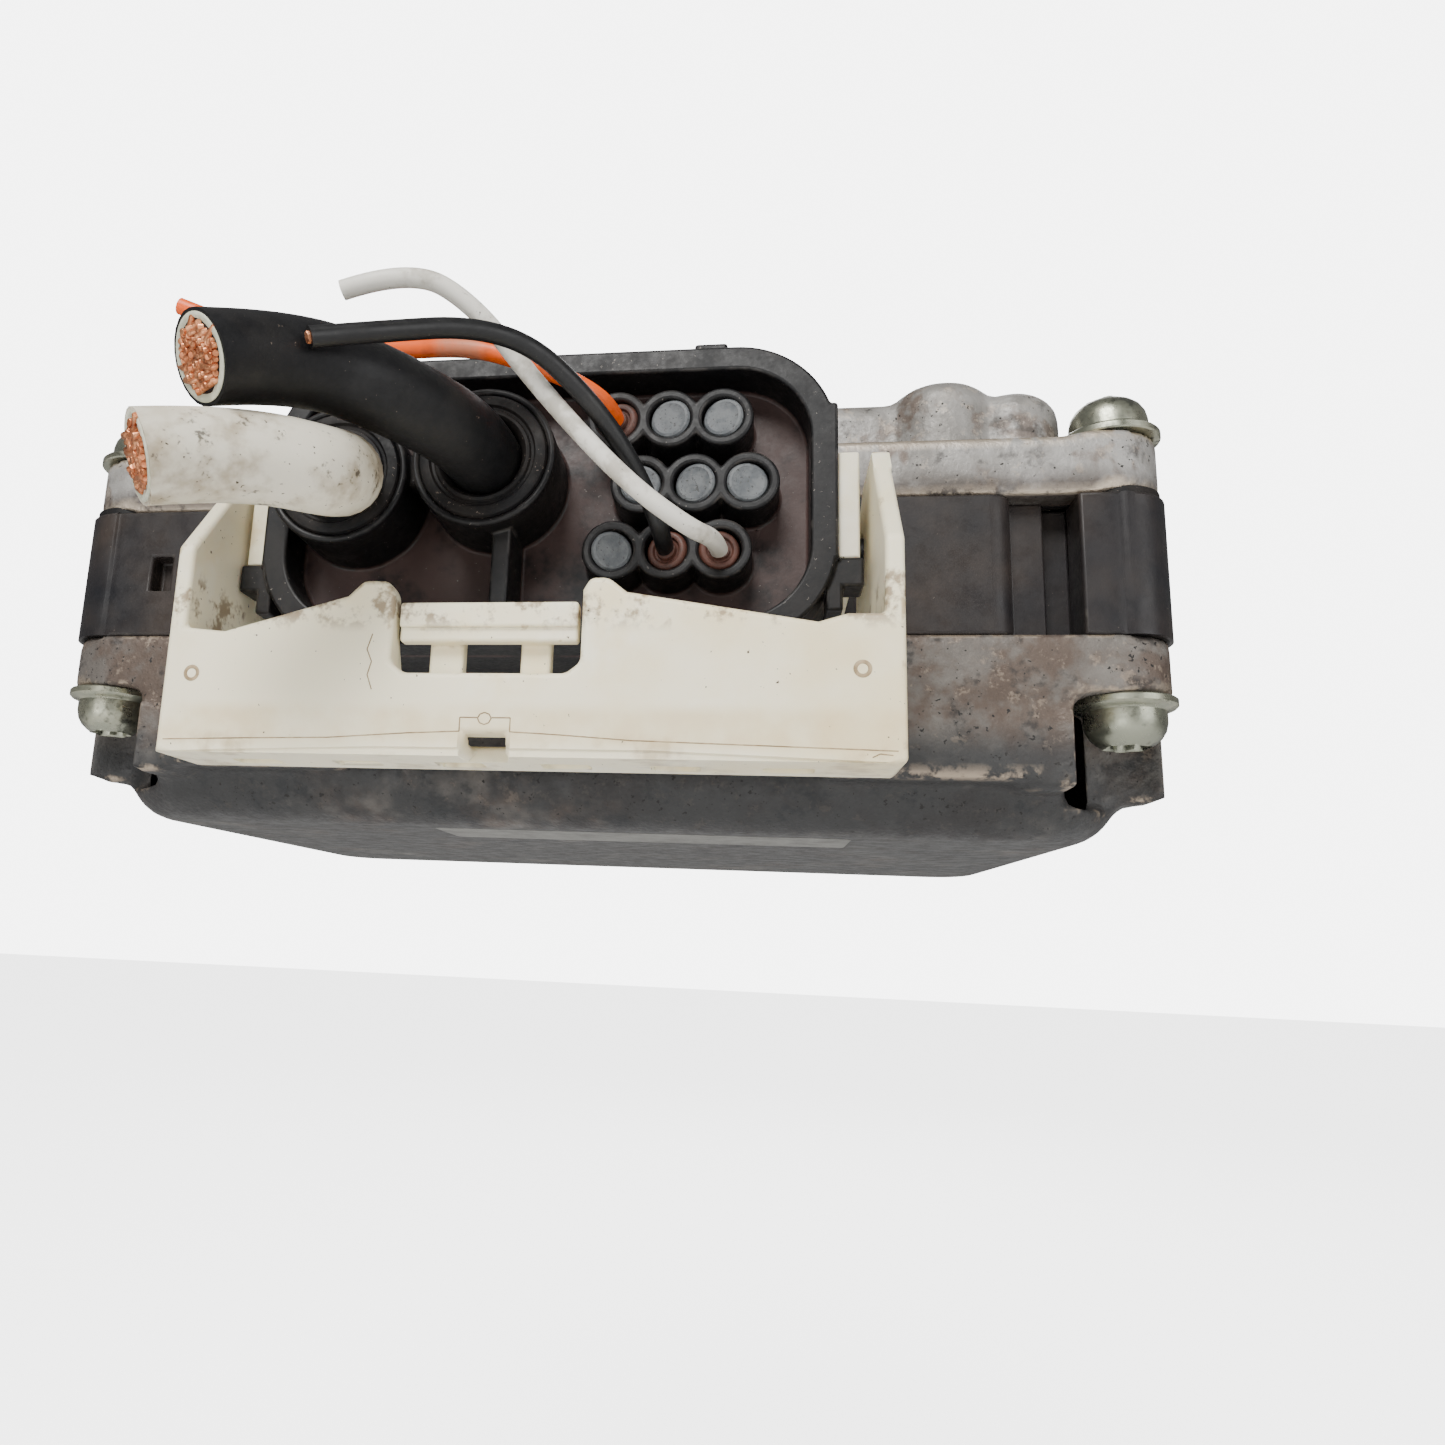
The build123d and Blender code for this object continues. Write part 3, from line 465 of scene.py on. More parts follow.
class Palette:
    """Every finish, built when it is first asked for."""

    def __init__(self) -> None:
        """Builds the shared effects and lists the finishes."""
        self.effects = Effects()
        self.made: dict[str, bpy.types.Material] = {}
        self.known = {finish.name: finish for finish in self._finishes()}

    def get(self, name: str) -> bpy.types.Material:
        """Gives a material.

        Args:
            name: the finish's name.

        Returns:
            The material.
        """
        if name not in self.made:
            self.made[name] = self.known[name].build(self.effects)
        return self.made[name]

    @staticmethod
    def _finishes() -> list[Finish]:
        """Lists the finishes.

        Returns:
            The finishes.
        """
        warm = (0.105, 0.070, 0.050)
        return [
            Finish("cast_upper", "cast_metal", (0.20, 0.19, 0.175),
                   layers=(Layer((0.36, 0.35, 0.335), 50, 0.42, 0.60, 0.85), Layer(warm, 130, 0.50, 0.60, 0.7),
                           Layer((0.035, 0.032, 0.030), 230, 0.55, 0.66, 0.6),
                           Layer((0.42, 0.37, 0.31), 520, 0.55, 0.64, 0.5)),
                   bands=(Band(Layer((0.045, 0.032, 0.025), 110, 0.30, 0.50, 0.8), 2, 0.030, 0.0415),),
                   speck=(0.02, 0.018, 0.016), speck_scale=1300, speck_amount=0.4, worn=(0.66, 0.56, 0.44),
                   worn_amount=0.75, worn_scale=420, worn_metal=0.9, metal=0.35, rough=(0.46, 0.64), worn_rough=0.32,
                   grain_scale=1500, grain_depth=0.00010, ripple=1.1),
            Finish("cast_lower", "cast_metal", (0.115, 0.103, 0.092),
                   layers=(Layer((0.20, 0.185, 0.165), 40, 0.45, 0.62, 0.75),
                           Layer((0.075, 0.048, 0.034), 90, 0.46, 0.60, 0.75),
                           Layer((0.020, 0.019, 0.019), 200, 0.53, 0.64, 0.7),
                           Layer((0.27, 0.215, 0.165), 480, 0.56, 0.65, 0.55)),
                   # The band darkens the lower casting towards the bottom: painted shade on the downward-facing dish.
                   bands=(Band(Layer((0.022, 0.024, 0.026), 60, 0.28, 0.50, 0.85), 2, -0.004, 0.0125),),
                   speck=(0.014, 0.013, 0.012), speck_scale=1300, speck_amount=0.45, worn=(0.42, 0.34, 0.26),
                   worn_amount=0.55, worn_scale=420, worn_metal=0.9, metal=0.3, rough=(0.44, 0.62), worn_rough=0.34,
                   grain_scale=1500, grain_depth=0.00010, ripple=1.1),
            Finish("frame_plastic", "frame_black", (0.0085, 0.0088, 0.0105),
                   layers=(Layer((0.042, 0.031, 0.025), 30, 0.40, 0.68, 0.8),
                           Layer((0.005, 0.006, 0.009), 24, 0.5, 0.66, 0.6)),
                   speck=(0.08, 0.065, 0.055), speck_scale=1800, speck_amount=0.12, worn=(0.05, 0.045, 0.04),
                   worn_amount=0.4, rough=(0.34, 0.5), grain_depth=0.00001, shine=0.3),
            Finish("hood_plastic", "connector_black", (0.0042, 0.0042, 0.0048),
                   layers=(Layer((0.012, 0.0105, 0.010), 110, 0.46, 0.62, 0.7),),
                   bands=(Band(Layer((0.060, 0.036, 0.032), 130, 0.30, 0.52, 0.85), 1, -0.06480, -0.06380),),
                   speck=(0.14, 0.125, 0.11), speck_scale=2300, speck_amount=0.25, worn=(0.035, 0.032, 0.03),
                   worn_amount=0.5, rough=(0.38, 0.56), grain_depth=0.000012, shine=0.28),
            Finish("ring_rubber", "rubber_black", (0.0045, 0.0045, 0.005),
                   layers=(Layer((0.016, 0.013, 0.011), 120, 0.44, 0.60, 0.7),),
                   speck=(0.13, 0.105, 0.085), speck_scale=2600, speck_amount=0.32, rough=(0.5, 0.7),
                   grain_depth=0.00002, shine=0.22),
            Finish("ivory", "lever_white", (0.84, 0.775, 0.575),
                   layers=(Layer((0.76, 0.62, 0.34), 34, 0.48, 0.70, 0.65),
                           Layer((0.88, 0.84, 0.70), 60, 0.52, 0.64, 0.6)),
                   bands=(Band(Layer((0.40, 0.30, 0.16), 120, 0.50, 0.66, 0.6), 2, 0.0005, 0.0042),
                          Band(Layer((0.20, 0.13, 0.07), 330, 0.50, 0.62, 0.8), 2, 0.0125, 0.0195),
                          Band(Layer((0.60, 0.43, 0.18), 60, 0.35, 0.60, 0.5), 2, 0.0022, 0.0068)),
                   speck=(0.07, 0.045, 0.025), speck_scale=1700, speck_amount=0.22, worn=(0.50, 0.40, 0.24),
                   worn_amount=0.35, worn_scale=420, rough=(0.38, 0.52), worn_rough=0.55, grain_depth=0.000006,
                   soft=0.12),
            # Darker, yellower copy of the lever's ivory for the slides: partly grease staining, partly painted shade
            # where the slides sit in shadow inside the hood.
            Finish("ivory_aged_and_shaded", "lever_white", (0.74, 0.68, 0.50),
                   layers=(Layer((0.50, 0.38, 0.17), 90, 0.48, 0.66, 0.6),
                           Layer((0.80, 0.77, 0.68), 60, 0.5, 0.64, 0.6)),
                   speck=(0.10, 0.07, 0.04), speck_scale=1500, speck_amount=0.3, rough=(0.4, 0.55),
                   grain_depth=0.000008, soft=0.1),
            Finish("grime", "lever_white", (0.20, 0.135, 0.065),
                   layers=(Layer((0.46, 0.36, 0.22), 260, 0.42, 0.60, 0.8),), rough=(0.6, 0.75)),
            Finish("zinc_plate", "zinc", (0.30, 0.31, 0.245),
                   layers=(Layer((0.46, 0.45, 0.34), 160, 0.45, 0.6, 0.7),
                           Layer((0.09, 0.095, 0.08), 320, 0.50, 0.64, 0.8)),
                   speck=(0.10, 0.09, 0.07), speck_scale=1800, speck_amount=0.2, worn=(0.8, 0.78, 0.68),
                   worn_amount=0.5,
                   worn_metal=0.95, metal=0.92, rough=(0.24, 0.40), worn_rough=0.2, grain_depth=0.00001),
            Finish("plug_rubber", "plug_grey", (0.070, 0.077, 0.083),
                   layers=(Layer((0.125, 0.132, 0.135), 420, 0.42, 0.60, 0.8),),
                   speck=(0.045, 0.045, 0.045), speck_scale=3000, speck_amount=0.55, rough=(0.5, 0.66),
                   grain_depth=0.00003),
            Finish("seal_rubber", "silicone_brown", (0.075, 0.026, 0.016),
                   layers=(Layer((0.032, 0.015, 0.011), 380, 0.42, 0.60, 0.75),),
                   speck=(0.03, 0.02, 0.018), speck_scale=2800, speck_amount=0.4, rough=(0.48, 0.66),
                   grain_depth=0.00003),
            Finish("lead_black", "insulation_black", (0.0045, 0.0045, 0.0052),
                   layers=(Layer((0.011, 0.010, 0.0095), 130, 0.45, 0.62, 0.7),),
                   speck=(0.12, 0.095, 0.075), speck_scale=2200, speck_amount=0.2, rough=(0.42, 0.6),
                   grain_depth=0.000025, shine=0.3),
            Finish("lead_white", "insulation_white", (0.66, 0.62, 0.51),
                   layers=(Layer((0.40, 0.335, 0.22), 75, 0.44, 0.64, 0.7),
                           Layer((0.23, 0.16, 0.085), 130, 0.49, 0.64, 0.65),
                           Layer((0.035, 0.026, 0.018), 520, 0.58, 0.66, 0.8)),
                   speck=(0.07, 0.055, 0.04), speck_scale=1900, speck_amount=0.32, rough=(0.45, 0.6),
                   grain_depth=0.00002, soft=0.06),
            Finish("wire_white", "insulation_white", (0.68, 0.655, 0.59),
                   layers=(Layer((0.36, 0.33, 0.27), 210, 0.50, 0.64, 0.7),),
                   speck=(0.05, 0.04, 0.03), speck_scale=2200, speck_amount=0.3, rough=(0.4, 0.55),
                   grain_depth=0.00001),
            Finish("wire_black", "insulation_black", (0.0045, 0.0045, 0.005),
                   layers=(Layer((0.013, 0.012, 0.011), 260, 0.5, 0.64, 0.6),),
                   speck=(0.14, 0.12, 0.1), speck_scale=2600, speck_amount=0.16, rough=(0.36, 0.5),
                   grain_depth=0.00001),
            Finish("wire_orange", "insulation_orange", (0.80, 0.105, 0.006),
                   layers=(Layer((0.50, 0.075, 0.008), 160, 0.48, 0.64, 0.7),),
                   bands=(Band(Layer((0.46, 0.19, 0.11), 260, 0.25, 0.5, 0.8), 0, -0.0105, -0.0040),),
                   speck=(0.12, 0.05, 0.03), speck_scale=2400, speck_amount=0.2, rough=(0.36, 0.5),
                   grain_depth=0.00001),
            Finish("copper", "copper", (0.48, 0.17, 0.075),
                   layers=(Layer((0.70, 0.33, 0.17), 700, 0.45, 0.6, 0.8),
                           Layer((0.10, 0.035, 0.018), 500, 0.50, 0.64, 0.75)),
                   metal=0.8, rough=(0.28, 0.46), grain_depth=0.00001),
            Finish("insulation_core", "insulation_white", (0.46, 0.47, 0.36),
                   layers=(Layer((0.66, 0.65, 0.53), 500, 0.42, 0.6, 0.8),), rough=(0.5, 0.62), grain_depth=0.00002),
            Finish("steel", "steel", (0.50, 0.50, 0.51), layers=(Layer((0.36, 0.36, 0.37), 180, 0.45, 0.62, 0.6),),
                   metal=0.95, rough=(0.26, 0.42), grain_scale=4000, grain_depth=0.000006),
            Finish("laminate", "sinter", (0.20, 0.20, 0.21), layers=(Layer((0.11, 0.10, 0.10), 150, 0.45, 0.62,
                                                                           0.7),),
                   metal=0.7, rough=(0.42, 0.58), grain_scale=3000, grain_depth=0.00003),
            Finish("magnet", "magnet", (0.16, 0.165, 0.18), layers=(Layer((0.24, 0.24, 0.25), 200, 0.45, 0.62, 0.6),),
                   metal=0.6, rough=(0.35, 0.5)),
            Finish("tin", "tin", (0.62, 0.61, 0.58), layers=(Layer((0.42, 0.41, 0.39), 500, 0.45, 0.62, 0.6),),
                   metal=0.92, rough=(0.24, 0.4), grain_depth=0.000006),
            Finish("board", "board_green", (0.010, 0.075, 0.030),
                   layers=(Layer((0.016, 0.105, 0.042), 700, 0.48, 0.54, 0.8),),
                   rough=(0.28, 0.4), grain_depth=0.000008, coat=0.25),
            Finish("label_strip", "label", (0.17, 0.165, 0.15),
                   layers=(Layer((0.09, 0.085, 0.075), 120, 0.45, 0.62, 0.7),),
                   speck=(0.10, 0.09, 0.08), speck_scale=1500, speck_amount=0.3, rough=(0.4, 0.55)),
        ]


# ---------------------------------------------------------------------------
# pieces
# ---------------------------------------------------------------------------
class Piece:
    """Ways to make a finished mesh object."""

    flat_degrees = 0.6
    room = 1.35
    stray = 0.55
    narrow = 0.75
    curl = 0.07
    curl_start = 0.9
    probe_shares = (0.02, 0.35, 0.65, 0.98)
    probe_depths = (0.25, 0.6, 1.0)

    def __init__(self, palette: Palette) -> None:
        """Keeps the palette.

        Args:
            palette: where the finishes come from.
        """
        self.palette = palette

    def place(self, name: str, mesh: bpy.types.Mesh, finish: str, body: Body,
              stands_for: tuple[str, ...] = ()) -> bpy.types.Object:
        """Puts a mesh in the scene as a piece.

        Args:
            name: piece name.
            mesh: its mesh, in the row frame.
            finish: its finish's name.
            body: the body it rides on.
            stands_for: CAD nodes that it replaces.

        Returns:
            The object.
        """
        made = bpy.data.objects.new(name, mesh)
        bpy.context.scene.collection.objects.link(made)
        mesh.materials.clear()
        mesh.materials.append(self.palette.get(finish))
        mesh.polygons.foreach_set("material_index", [0] * len(mesh.polygons))
        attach(made, body.value)
        if stands_for:
            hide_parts(*stands_for)
        return made

    @staticmethod
    def evaluated(made: bpy.types.Object) -> bpy.types.Mesh:
        """Plain mesh of an object with its modifiers applied.

        Args:
            made: the object, which is removed.

        Returns:
            The mesh.
        """
        graph = bpy.context.evaluated_depsgraph_get()
        mesh = bpy.data.meshes.new_from_object(made.evaluated_get(graph), depsgraph=graph)
        bpy.data.objects.remove(made, do_unlink=True)
        return mesh

    def softened(self, node: str, radius: float, segments: int = 3, angle: float = 32.0,
                 every: bool = True) -> bpy.types.Mesh:
        """Copy of a CAD node with its edges rounded and marked for wear.

        Args:
            node: the CAD node.
            radius: edge radius.
            segments: rows of faces across each edge.
            angle: edges sharper than this are rounded, in degrees.
            every: round every such edge, and not only those with wide faces beside them.

        Returns:
            The mesh, with an edge attribute that is one along the rounded edges.
        """
        shell = bmesh.new()
        shell.from_mesh(frame_nodes()[node].data)
        bmesh.ops.remove_doubles(shell, verts=shell.verts, dist=WELD)
        skin = BVHTree.FromBMesh(shell)
        bmesh.ops.dissolve_limit(shell, angle_limit=math.radians(self.flat_degrees), verts=shell.verts,
                                 edges=shell.edges)
        weight = shell.edges.layers.float.new("bevel_weight_edge")
        for edge in shell.edges:
            if len(edge.link_faces) == 2 and edge.calc_face_angle(0.0) > math.radians(angle):
                edge[weight] = 1.0 if every or self._has_room(edge, self.room * radius) else 0.0
        mesh = bpy.data.meshes.new(node + "_soft")
        shell.to_mesh(mesh)
        shell.free()
        made = bpy.data.objects.new(node + "_soft", mesh)
        bpy.context.scene.collection.objects.link(made)
        for face in mesh.polygons:
            face.use_smooth = True
        mesh.set_sharp_from_angle(angle=math.radians(angle))
        bevel = made.modifiers.new("Edges", "BEVEL")
        bevel.width = radius
        bevel.segments = segments
        bevel.limit_method = "WEIGHT"
        bevel.use_clamp_overlap = False
        smooth = made.modifiers.new("Normals", "WEIGHTED_NORMAL")
        smooth.keep_sharp = True
        result = self.evaluated(made)
        for vertex in result.vertices:
            near, _, _, distance = skin.find_nearest(vertex.co)
            if distance > self.stray * radius:
                vertex.co = near
        self._mark_edges(result, radius)
        return result

    def cast(self, node: str, voxel: float, rounds: int = 2) -> bpy.types.Mesh:
        """Copy of a CAD node with the blended edges of a casting.

        Args:
            node: the CAD node.
            voxel: size of the cells it is rebuilt from.
            rounds: smoothing rounds.

        Returns:
            The mesh, with an edge attribute that grows with how convex it is.
        """
        mesh = frame_nodes()[node].data.copy()
        made = bpy.data.objects.new(node + "_cast", mesh)
        bpy.context.scene.collection.objects.link(made)
        weld = made.modifiers.new("Weld", "WELD")
        weld.merge_threshold = WELD
        remesh = made.modifiers.new("Cells", "REMESH")
        remesh.mode = "VOXEL"
        remesh.voxel_size = voxel
        remesh.use_smooth_shade = True
        blend = made.modifiers.new("Blend", "SMOOTH")
        blend.factor = 0.5
        blend.iterations = rounds
        dense = self.evaluated(made)
        shell = bmesh.new()
        shell.from_mesh(dense)
        layer = shell.verts.layers.float.new("edge")
        for vert in shell.verts:
            total = sum((edge.other_vert(vert).co for edge in vert.link_edges), Vector())
            middle = total / max(len(vert.link_edges), 1)
            convex = (vert.co - middle).dot(vert.normal) / (self.curl * voxel)
            vert[layer] = min(1.0, max(0.0, convex - self.curl_start))
        shell.to_mesh(dense)
        shell.free()
        return dense

    def _has_room(self, edge: bmesh.types.BMEdge, reach: float) -> bool:
        """Tells whether both faces beside an edge are wide enough to round it.

        Args:
            edge: the edge.
            reach: how far into each face the rounding goes.

        Returns:
            True when every probe beside the edge lies in its face.
        """
        start, end = edge.verts[0].co, edge.verts[1].co
        along = (end - start).normalized()
        for loop in edge.link_loops:
            inward = loop.face.normal.cross(along)
            if loop.vert is not edge.verts[0]:
                inward = -inward
            corners = [vert.co for vert in loop.face.verts]
            sides = list(zip(corners, corners[1:] + corners[:1]))
            for share in self.probe_shares:
                foot = start.lerp(end, share)
                for depth in self.probe_depths:
                    probe = foot + inward * reach * depth
                    crossings = 0
                    for a, b in sides:
                        da, db = (a - probe).dot(inward), (b - probe).dot(inward)
                        if (da > 0) != (db > 0):
                            at = (a + (b - a) * (da / (da - db)) - probe).dot(along)
                            crossings += at > 0
                    if crossings % 2 == 0:
                        return False
        return True

    def _mark_edges(self, mesh: bpy.types.Mesh, radius: float) -> None:
        """Marks vertices that lie only on narrow faces.

        Args:
            mesh: the mesh.
            radius: the edge radius, which sets what narrow means.
        """
        narrow = [True] * len(mesh.vertices)
        for face in mesh.polygons:
            points = [mesh.vertices[i].co for i in face.vertices]
            longest = max((a - b).length for a, b in zip(points, points[1:] + points[:1]))
            if face.area / max(longest, 1e-9) > self.narrow * radius:
                for index in face.vertices:
                    narrow[index] = False
        layer = mesh.attributes.new("edge", "FLOAT", "POINT")
        layer.data.foreach_set("value", [1.0 if item else 0.0 for item in narrow])

    @staticmethod
    def turned(name: str, profile: list[Row], steps: int = 48, lobes: int = 6) -> bpy.types.Mesh:
        """Body turned about Z from (radius, height, lobe) rows in millimetres, closed at both ends.

        Args:
            name: mesh name.
            profile: rows from one end to the other; lobe is the share by which the radius swells on each lobe.
            steps: facets round the axis.
            lobes: number of lobes.

        Returns:
            The mesh.
        """
        shell = bmesh.new()
        rings = []
        for radius, height, lobe in profile:
            ring = []
            for i in range(steps):
                angle = 2 * math.pi * i / steps
                r = radius * (1 + lobe * math.cos(lobes * angle)) * MM
                ring.append(shell.verts.new((r * math.cos(angle), r * math.sin(angle), height * MM)))
            rings.append(ring)
        for low, high in zip(rings, rings[1:]):
            for i in range(steps):
                j = (i + 1) % steps
                shell.faces.new((low[i], low[j], high[j], high[i]))
        shell.faces.new(list(reversed(rings[0])))
        shell.faces.new(rings[-1])
        bmesh.ops.recalc_face_normals(shell, faces=shell.faces)
        mesh = bpy.data.meshes.new(name)
        shell.to_mesh(mesh)
        shell.free()
        for face in mesh.polygons:
            face.use_smooth = True
        mesh.set_sharp_from_angle(angle=math.radians(SHARP_DEGREES))
        return mesh


def frame_nodes() -> dict[str, bpy.types.Object]:
    """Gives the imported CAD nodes.

    Returns:
        Node name to object.
    """
    return FRAME["nodes"]


class Repeater:
    """Geometry Nodes tree that sets a copy of a piece on each point, with a little disorder."""

    inputs = {
        "Geometry": Socket.SHAPE,
        "Piece": Socket.PIECE,
        "Finish": Socket.FINISH,
        "Turn": Socket.VECTOR,
        "Tilt": Socket.VALUE,
        "Rise": Socket.VALUE,
        "Seed": Socket.WHOLE,
    }
    spin_share = 4.0
    jitter_limit = (1.0, 1.0, 3.14)

    def __init__(self) -> None:
        """Builds the tree."""
        self.tree = bpy.data.node_groups.new("repeat_on_points", "GeometryNodeTree")
        for name, kind in self.inputs.items():
            self.tree.interface.new_socket(name, in_out="INPUT", socket_type=kind.value)
        self.tree.interface.new_socket("Geometry", in_out="OUTPUT", socket_type=Socket.SHAPE.value)
        graph = Graph(self.tree)
        into = graph.node("NodeGroupInput")
        out = graph.node("NodeGroupOutput")
        shape = graph.node("GeometryNodeObjectInfo")
        graph.put(into.outputs["Piece"], shape.inputs["Object"])
        copies = graph.node("GeometryNodeInstanceOnPoints")
        graph.put(into.outputs["Geometry"], copies.inputs["Points"])
        graph.put(shape.outputs["Geometry"], copies.inputs["Instance"])
        graph.put(self._turn(graph, into), copies.inputs["Rotation"])
        shift = graph.node("GeometryNodeTranslateInstances")
        graph.put(copies.outputs[0], shift.inputs["Instances"])
        graph.put(self._rise(graph, into), shift.inputs["Translation"])
        real = graph.node("GeometryNodeRealizeInstances")
        graph.put(shift.outputs[0], real.inputs[0])
        paint = graph.node("GeometryNodeSetMaterial")
        graph.put(real.outputs[0], paint.inputs["Geometry"])
        graph.put(into.outputs["Finish"], paint.inputs["Material"])
        graph.put(paint.outputs[0], out.inputs[0])

    def _turn(self, graph: Graph, into: bpy.types.Node) -> bpy.types.NodeSocket:
        """Rotation of each copy: the given turn and a random tilt and spin.

        Args:
            graph: the tree.
            into: its input node.

        Returns:
            The rotation.
        """
        jitter = graph.node("FunctionNodeRandomValue", data_type="FLOAT_VECTOR")
        graph.put(tuple(-value for value in self.jitter_limit), jitter.inputs[0])
        graph.put(self.jitter_limit, jitter.inputs[1])
        graph.put(into.outputs["Seed"], jitter.inputs["Seed"])
        share = graph.node("ShaderNodeCombineXYZ")
        graph.put(into.outputs["Tilt"], share.inputs[0])
        graph.put(into.outputs["Tilt"], share.inputs[1])
        graph.put(graph.math("MULTIPLY", into.outputs["Tilt"], self.spin_share), share.inputs[2])
        disorder = graph.node("ShaderNodeVectorMath", operation="MULTIPLY")
        graph.put(jitter.outputs[0], disorder.inputs[0])
        graph.put(share.outputs[0], disorder.inputs[1])
        total = graph.node("ShaderNodeVectorMath", operation="ADD")
        graph.put(disorder.outputs[0], total.inputs[0])
        graph.put(into.outputs["Turn"], total.inputs[1])
        turn = graph.node("FunctionNodeEulerToRotation")
        graph.put(total.outputs[0], turn.inputs[0])
        return turn.outputs[0]

    @staticmethod
    def _rise(graph: Graph, into: bpy.types.Node) -> bpy.types.NodeSocket:
        """Random shift of each copy along its own axis.

        Args:
            graph: the tree.
            into: its input node.

        Returns:
            The shift.
        """
        lift = graph.node("FunctionNodeRandomValue", data_type="FLOAT")
        graph.put(into.outputs["Seed"], lift.inputs["Seed"])
        along = graph.node("ShaderNodeCombineXYZ")
        graph.put(graph.math("MULTIPLY", lift.outputs[1], into.outputs["Rise"]), along.inputs[2])
        return along.outputs[0]

    def spread(self, name: str, shape: bpy.types.Mesh, points: list[Point], finish: bpy.types.Material,
               turn: Point = (0.0, 0.0, 0.0), tilt: float = 0.0, rise: float = 0.0, seed: int = 1) -> bpy.types.Mesh:
        """Sets copies of a mesh on points.

        Args:
            name: name of the result.
            shape: the mesh that is copied.
            points: where the copies go.
            finish: their material.
            turn: rotation of each copy.
            tilt: random tilt in radians.
            rise: random shift along the copy's axis.
            seed: seed of the disorder.

        Returns:
            One plain mesh.
        """
        source = bpy.data.objects.new(name + "_source", shape)
        bpy.context.scene.collection.objects.link(source)
        seat = bpy.data.meshes.new(name + "_points")
        seat.from_pydata(points, [], [])
        host = bpy.data.objects.new(name + "_host", seat)
        bpy.context.scene.collection.objects.link(host)
        modifier = host.modifiers.new("Repeat", "NODES")
        modifier.node_group = self.tree
        values = {"Piece": source, "Finish": finish, "Turn": turn, "Tilt": tilt, "Rise": rise, "Seed": seed}
        for item in self.tree.interface.items_tree:
            if item.in_out == "INPUT" and item.name in values:
                modifier[item.identifier] = values[item.name]
        mesh = Piece.evaluated(host)
        bpy.data.objects.remove(source, do_unlink=True)
        mesh.name = name
        return mesh


@dataclass
class Screws:
    """Flanged pan-head screws with a six-lobe recess."""

    piece: Piece
    repeater: Repeater
    head_mm: float = 4.2
    flange_mm: float = 5.3
    height_mm: float = 5.2
    recess_mm: float = 2.1
    shank_mm: float = 2.5

    def profile(self) -> list[Row]:
        """Profile from the shank's end over the head into the recess.

        Returns:
            Rows of radius, height and lobe.
        """
        head, flange, top, hole = self.head_mm, self.flange_mm, self.height_mm, self.recess_mm
        return [
            (self.shank_mm, -6.0, 0), (self.shank_mm, 0.0, 0), (flange - 0.15, 0.0, 0), (flange, 0.15, 0),
            (flange, 0.75, 0),
            (flange - 0.25, 1.0, 0), (head + 0.25, 1.12, 0), (head, 1.4, 0), (head - 0.02, 2.6, 0),
            (head - 0.22, 3.5, 0),
            (head - 0.65, 4.25, 0), (head - 1.25, 4.8, 0), (head - 1.75, top - 0.08, 0.02), (hole + 0.2, top, 0.09),
            (hole, top - 0.2, 0.11),
            (hole - 0.12, top - 2.3, 0.11), (0.5, top - 2.7, 0.0),
        ]

    def build(self) -> None:
        """Makes both sets."""
        for node, name, up in (("upper_screws", "cover_screw_set", True), ("lower_screws", "dish_screw_set", False)):
            low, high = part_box(node)
            inset = self.flange_mm * MM
            z = high[2] - self.height_mm * MM if up else low[2] + self.height_mm * MM
            xs = (low[0] + inset, high[0] - inset)
            ys = (low[1] + inset, high[1] - inset)
            points = [(x, y, z) for x in xs for y in ys]
            turn = (0.0, 0.0, 0.3) if up else (math.pi, 0.0, 0.5)
            shape = Piece.turned(name + "_shape", self.profile())
            mesh = self.repeater.spread(name, shape, points, self.piece.palette.get("zinc_plate"), turn, seed=3)
            self.piece.place(name, mesh, "zinc_plate", Body.BASE, (node,))


@dataclass
class Castings:
    """The two castings and the moulded frame between them."""

    piece: Piece
    fine: float = 0.80 * MM
    coarse: float = 0.85 * MM
    frame_radius: float = 0.35 * MM

    def build(self) -> None:
        """Makes the castings and the frame."""
        castings = (("upper_housing", "cast_upper", self.fine), ("lower_housing", "cast_lower", self.coarse))
        for node, finish, voxel in castings:
            mesh = self.piece.cast(node, voxel)
            LOG.info("%s has %d faces", node, len(mesh.polygons))
            self.piece.place(node + "_shell", mesh, finish, Body.BASE, (node,))
        mesh = self.piece.softened("mid_frame", self.frame_radius, every=False)
        self.piece.place("mid_frame_shell", mesh, "frame_plastic", Body.BASE, ("mid_frame",))


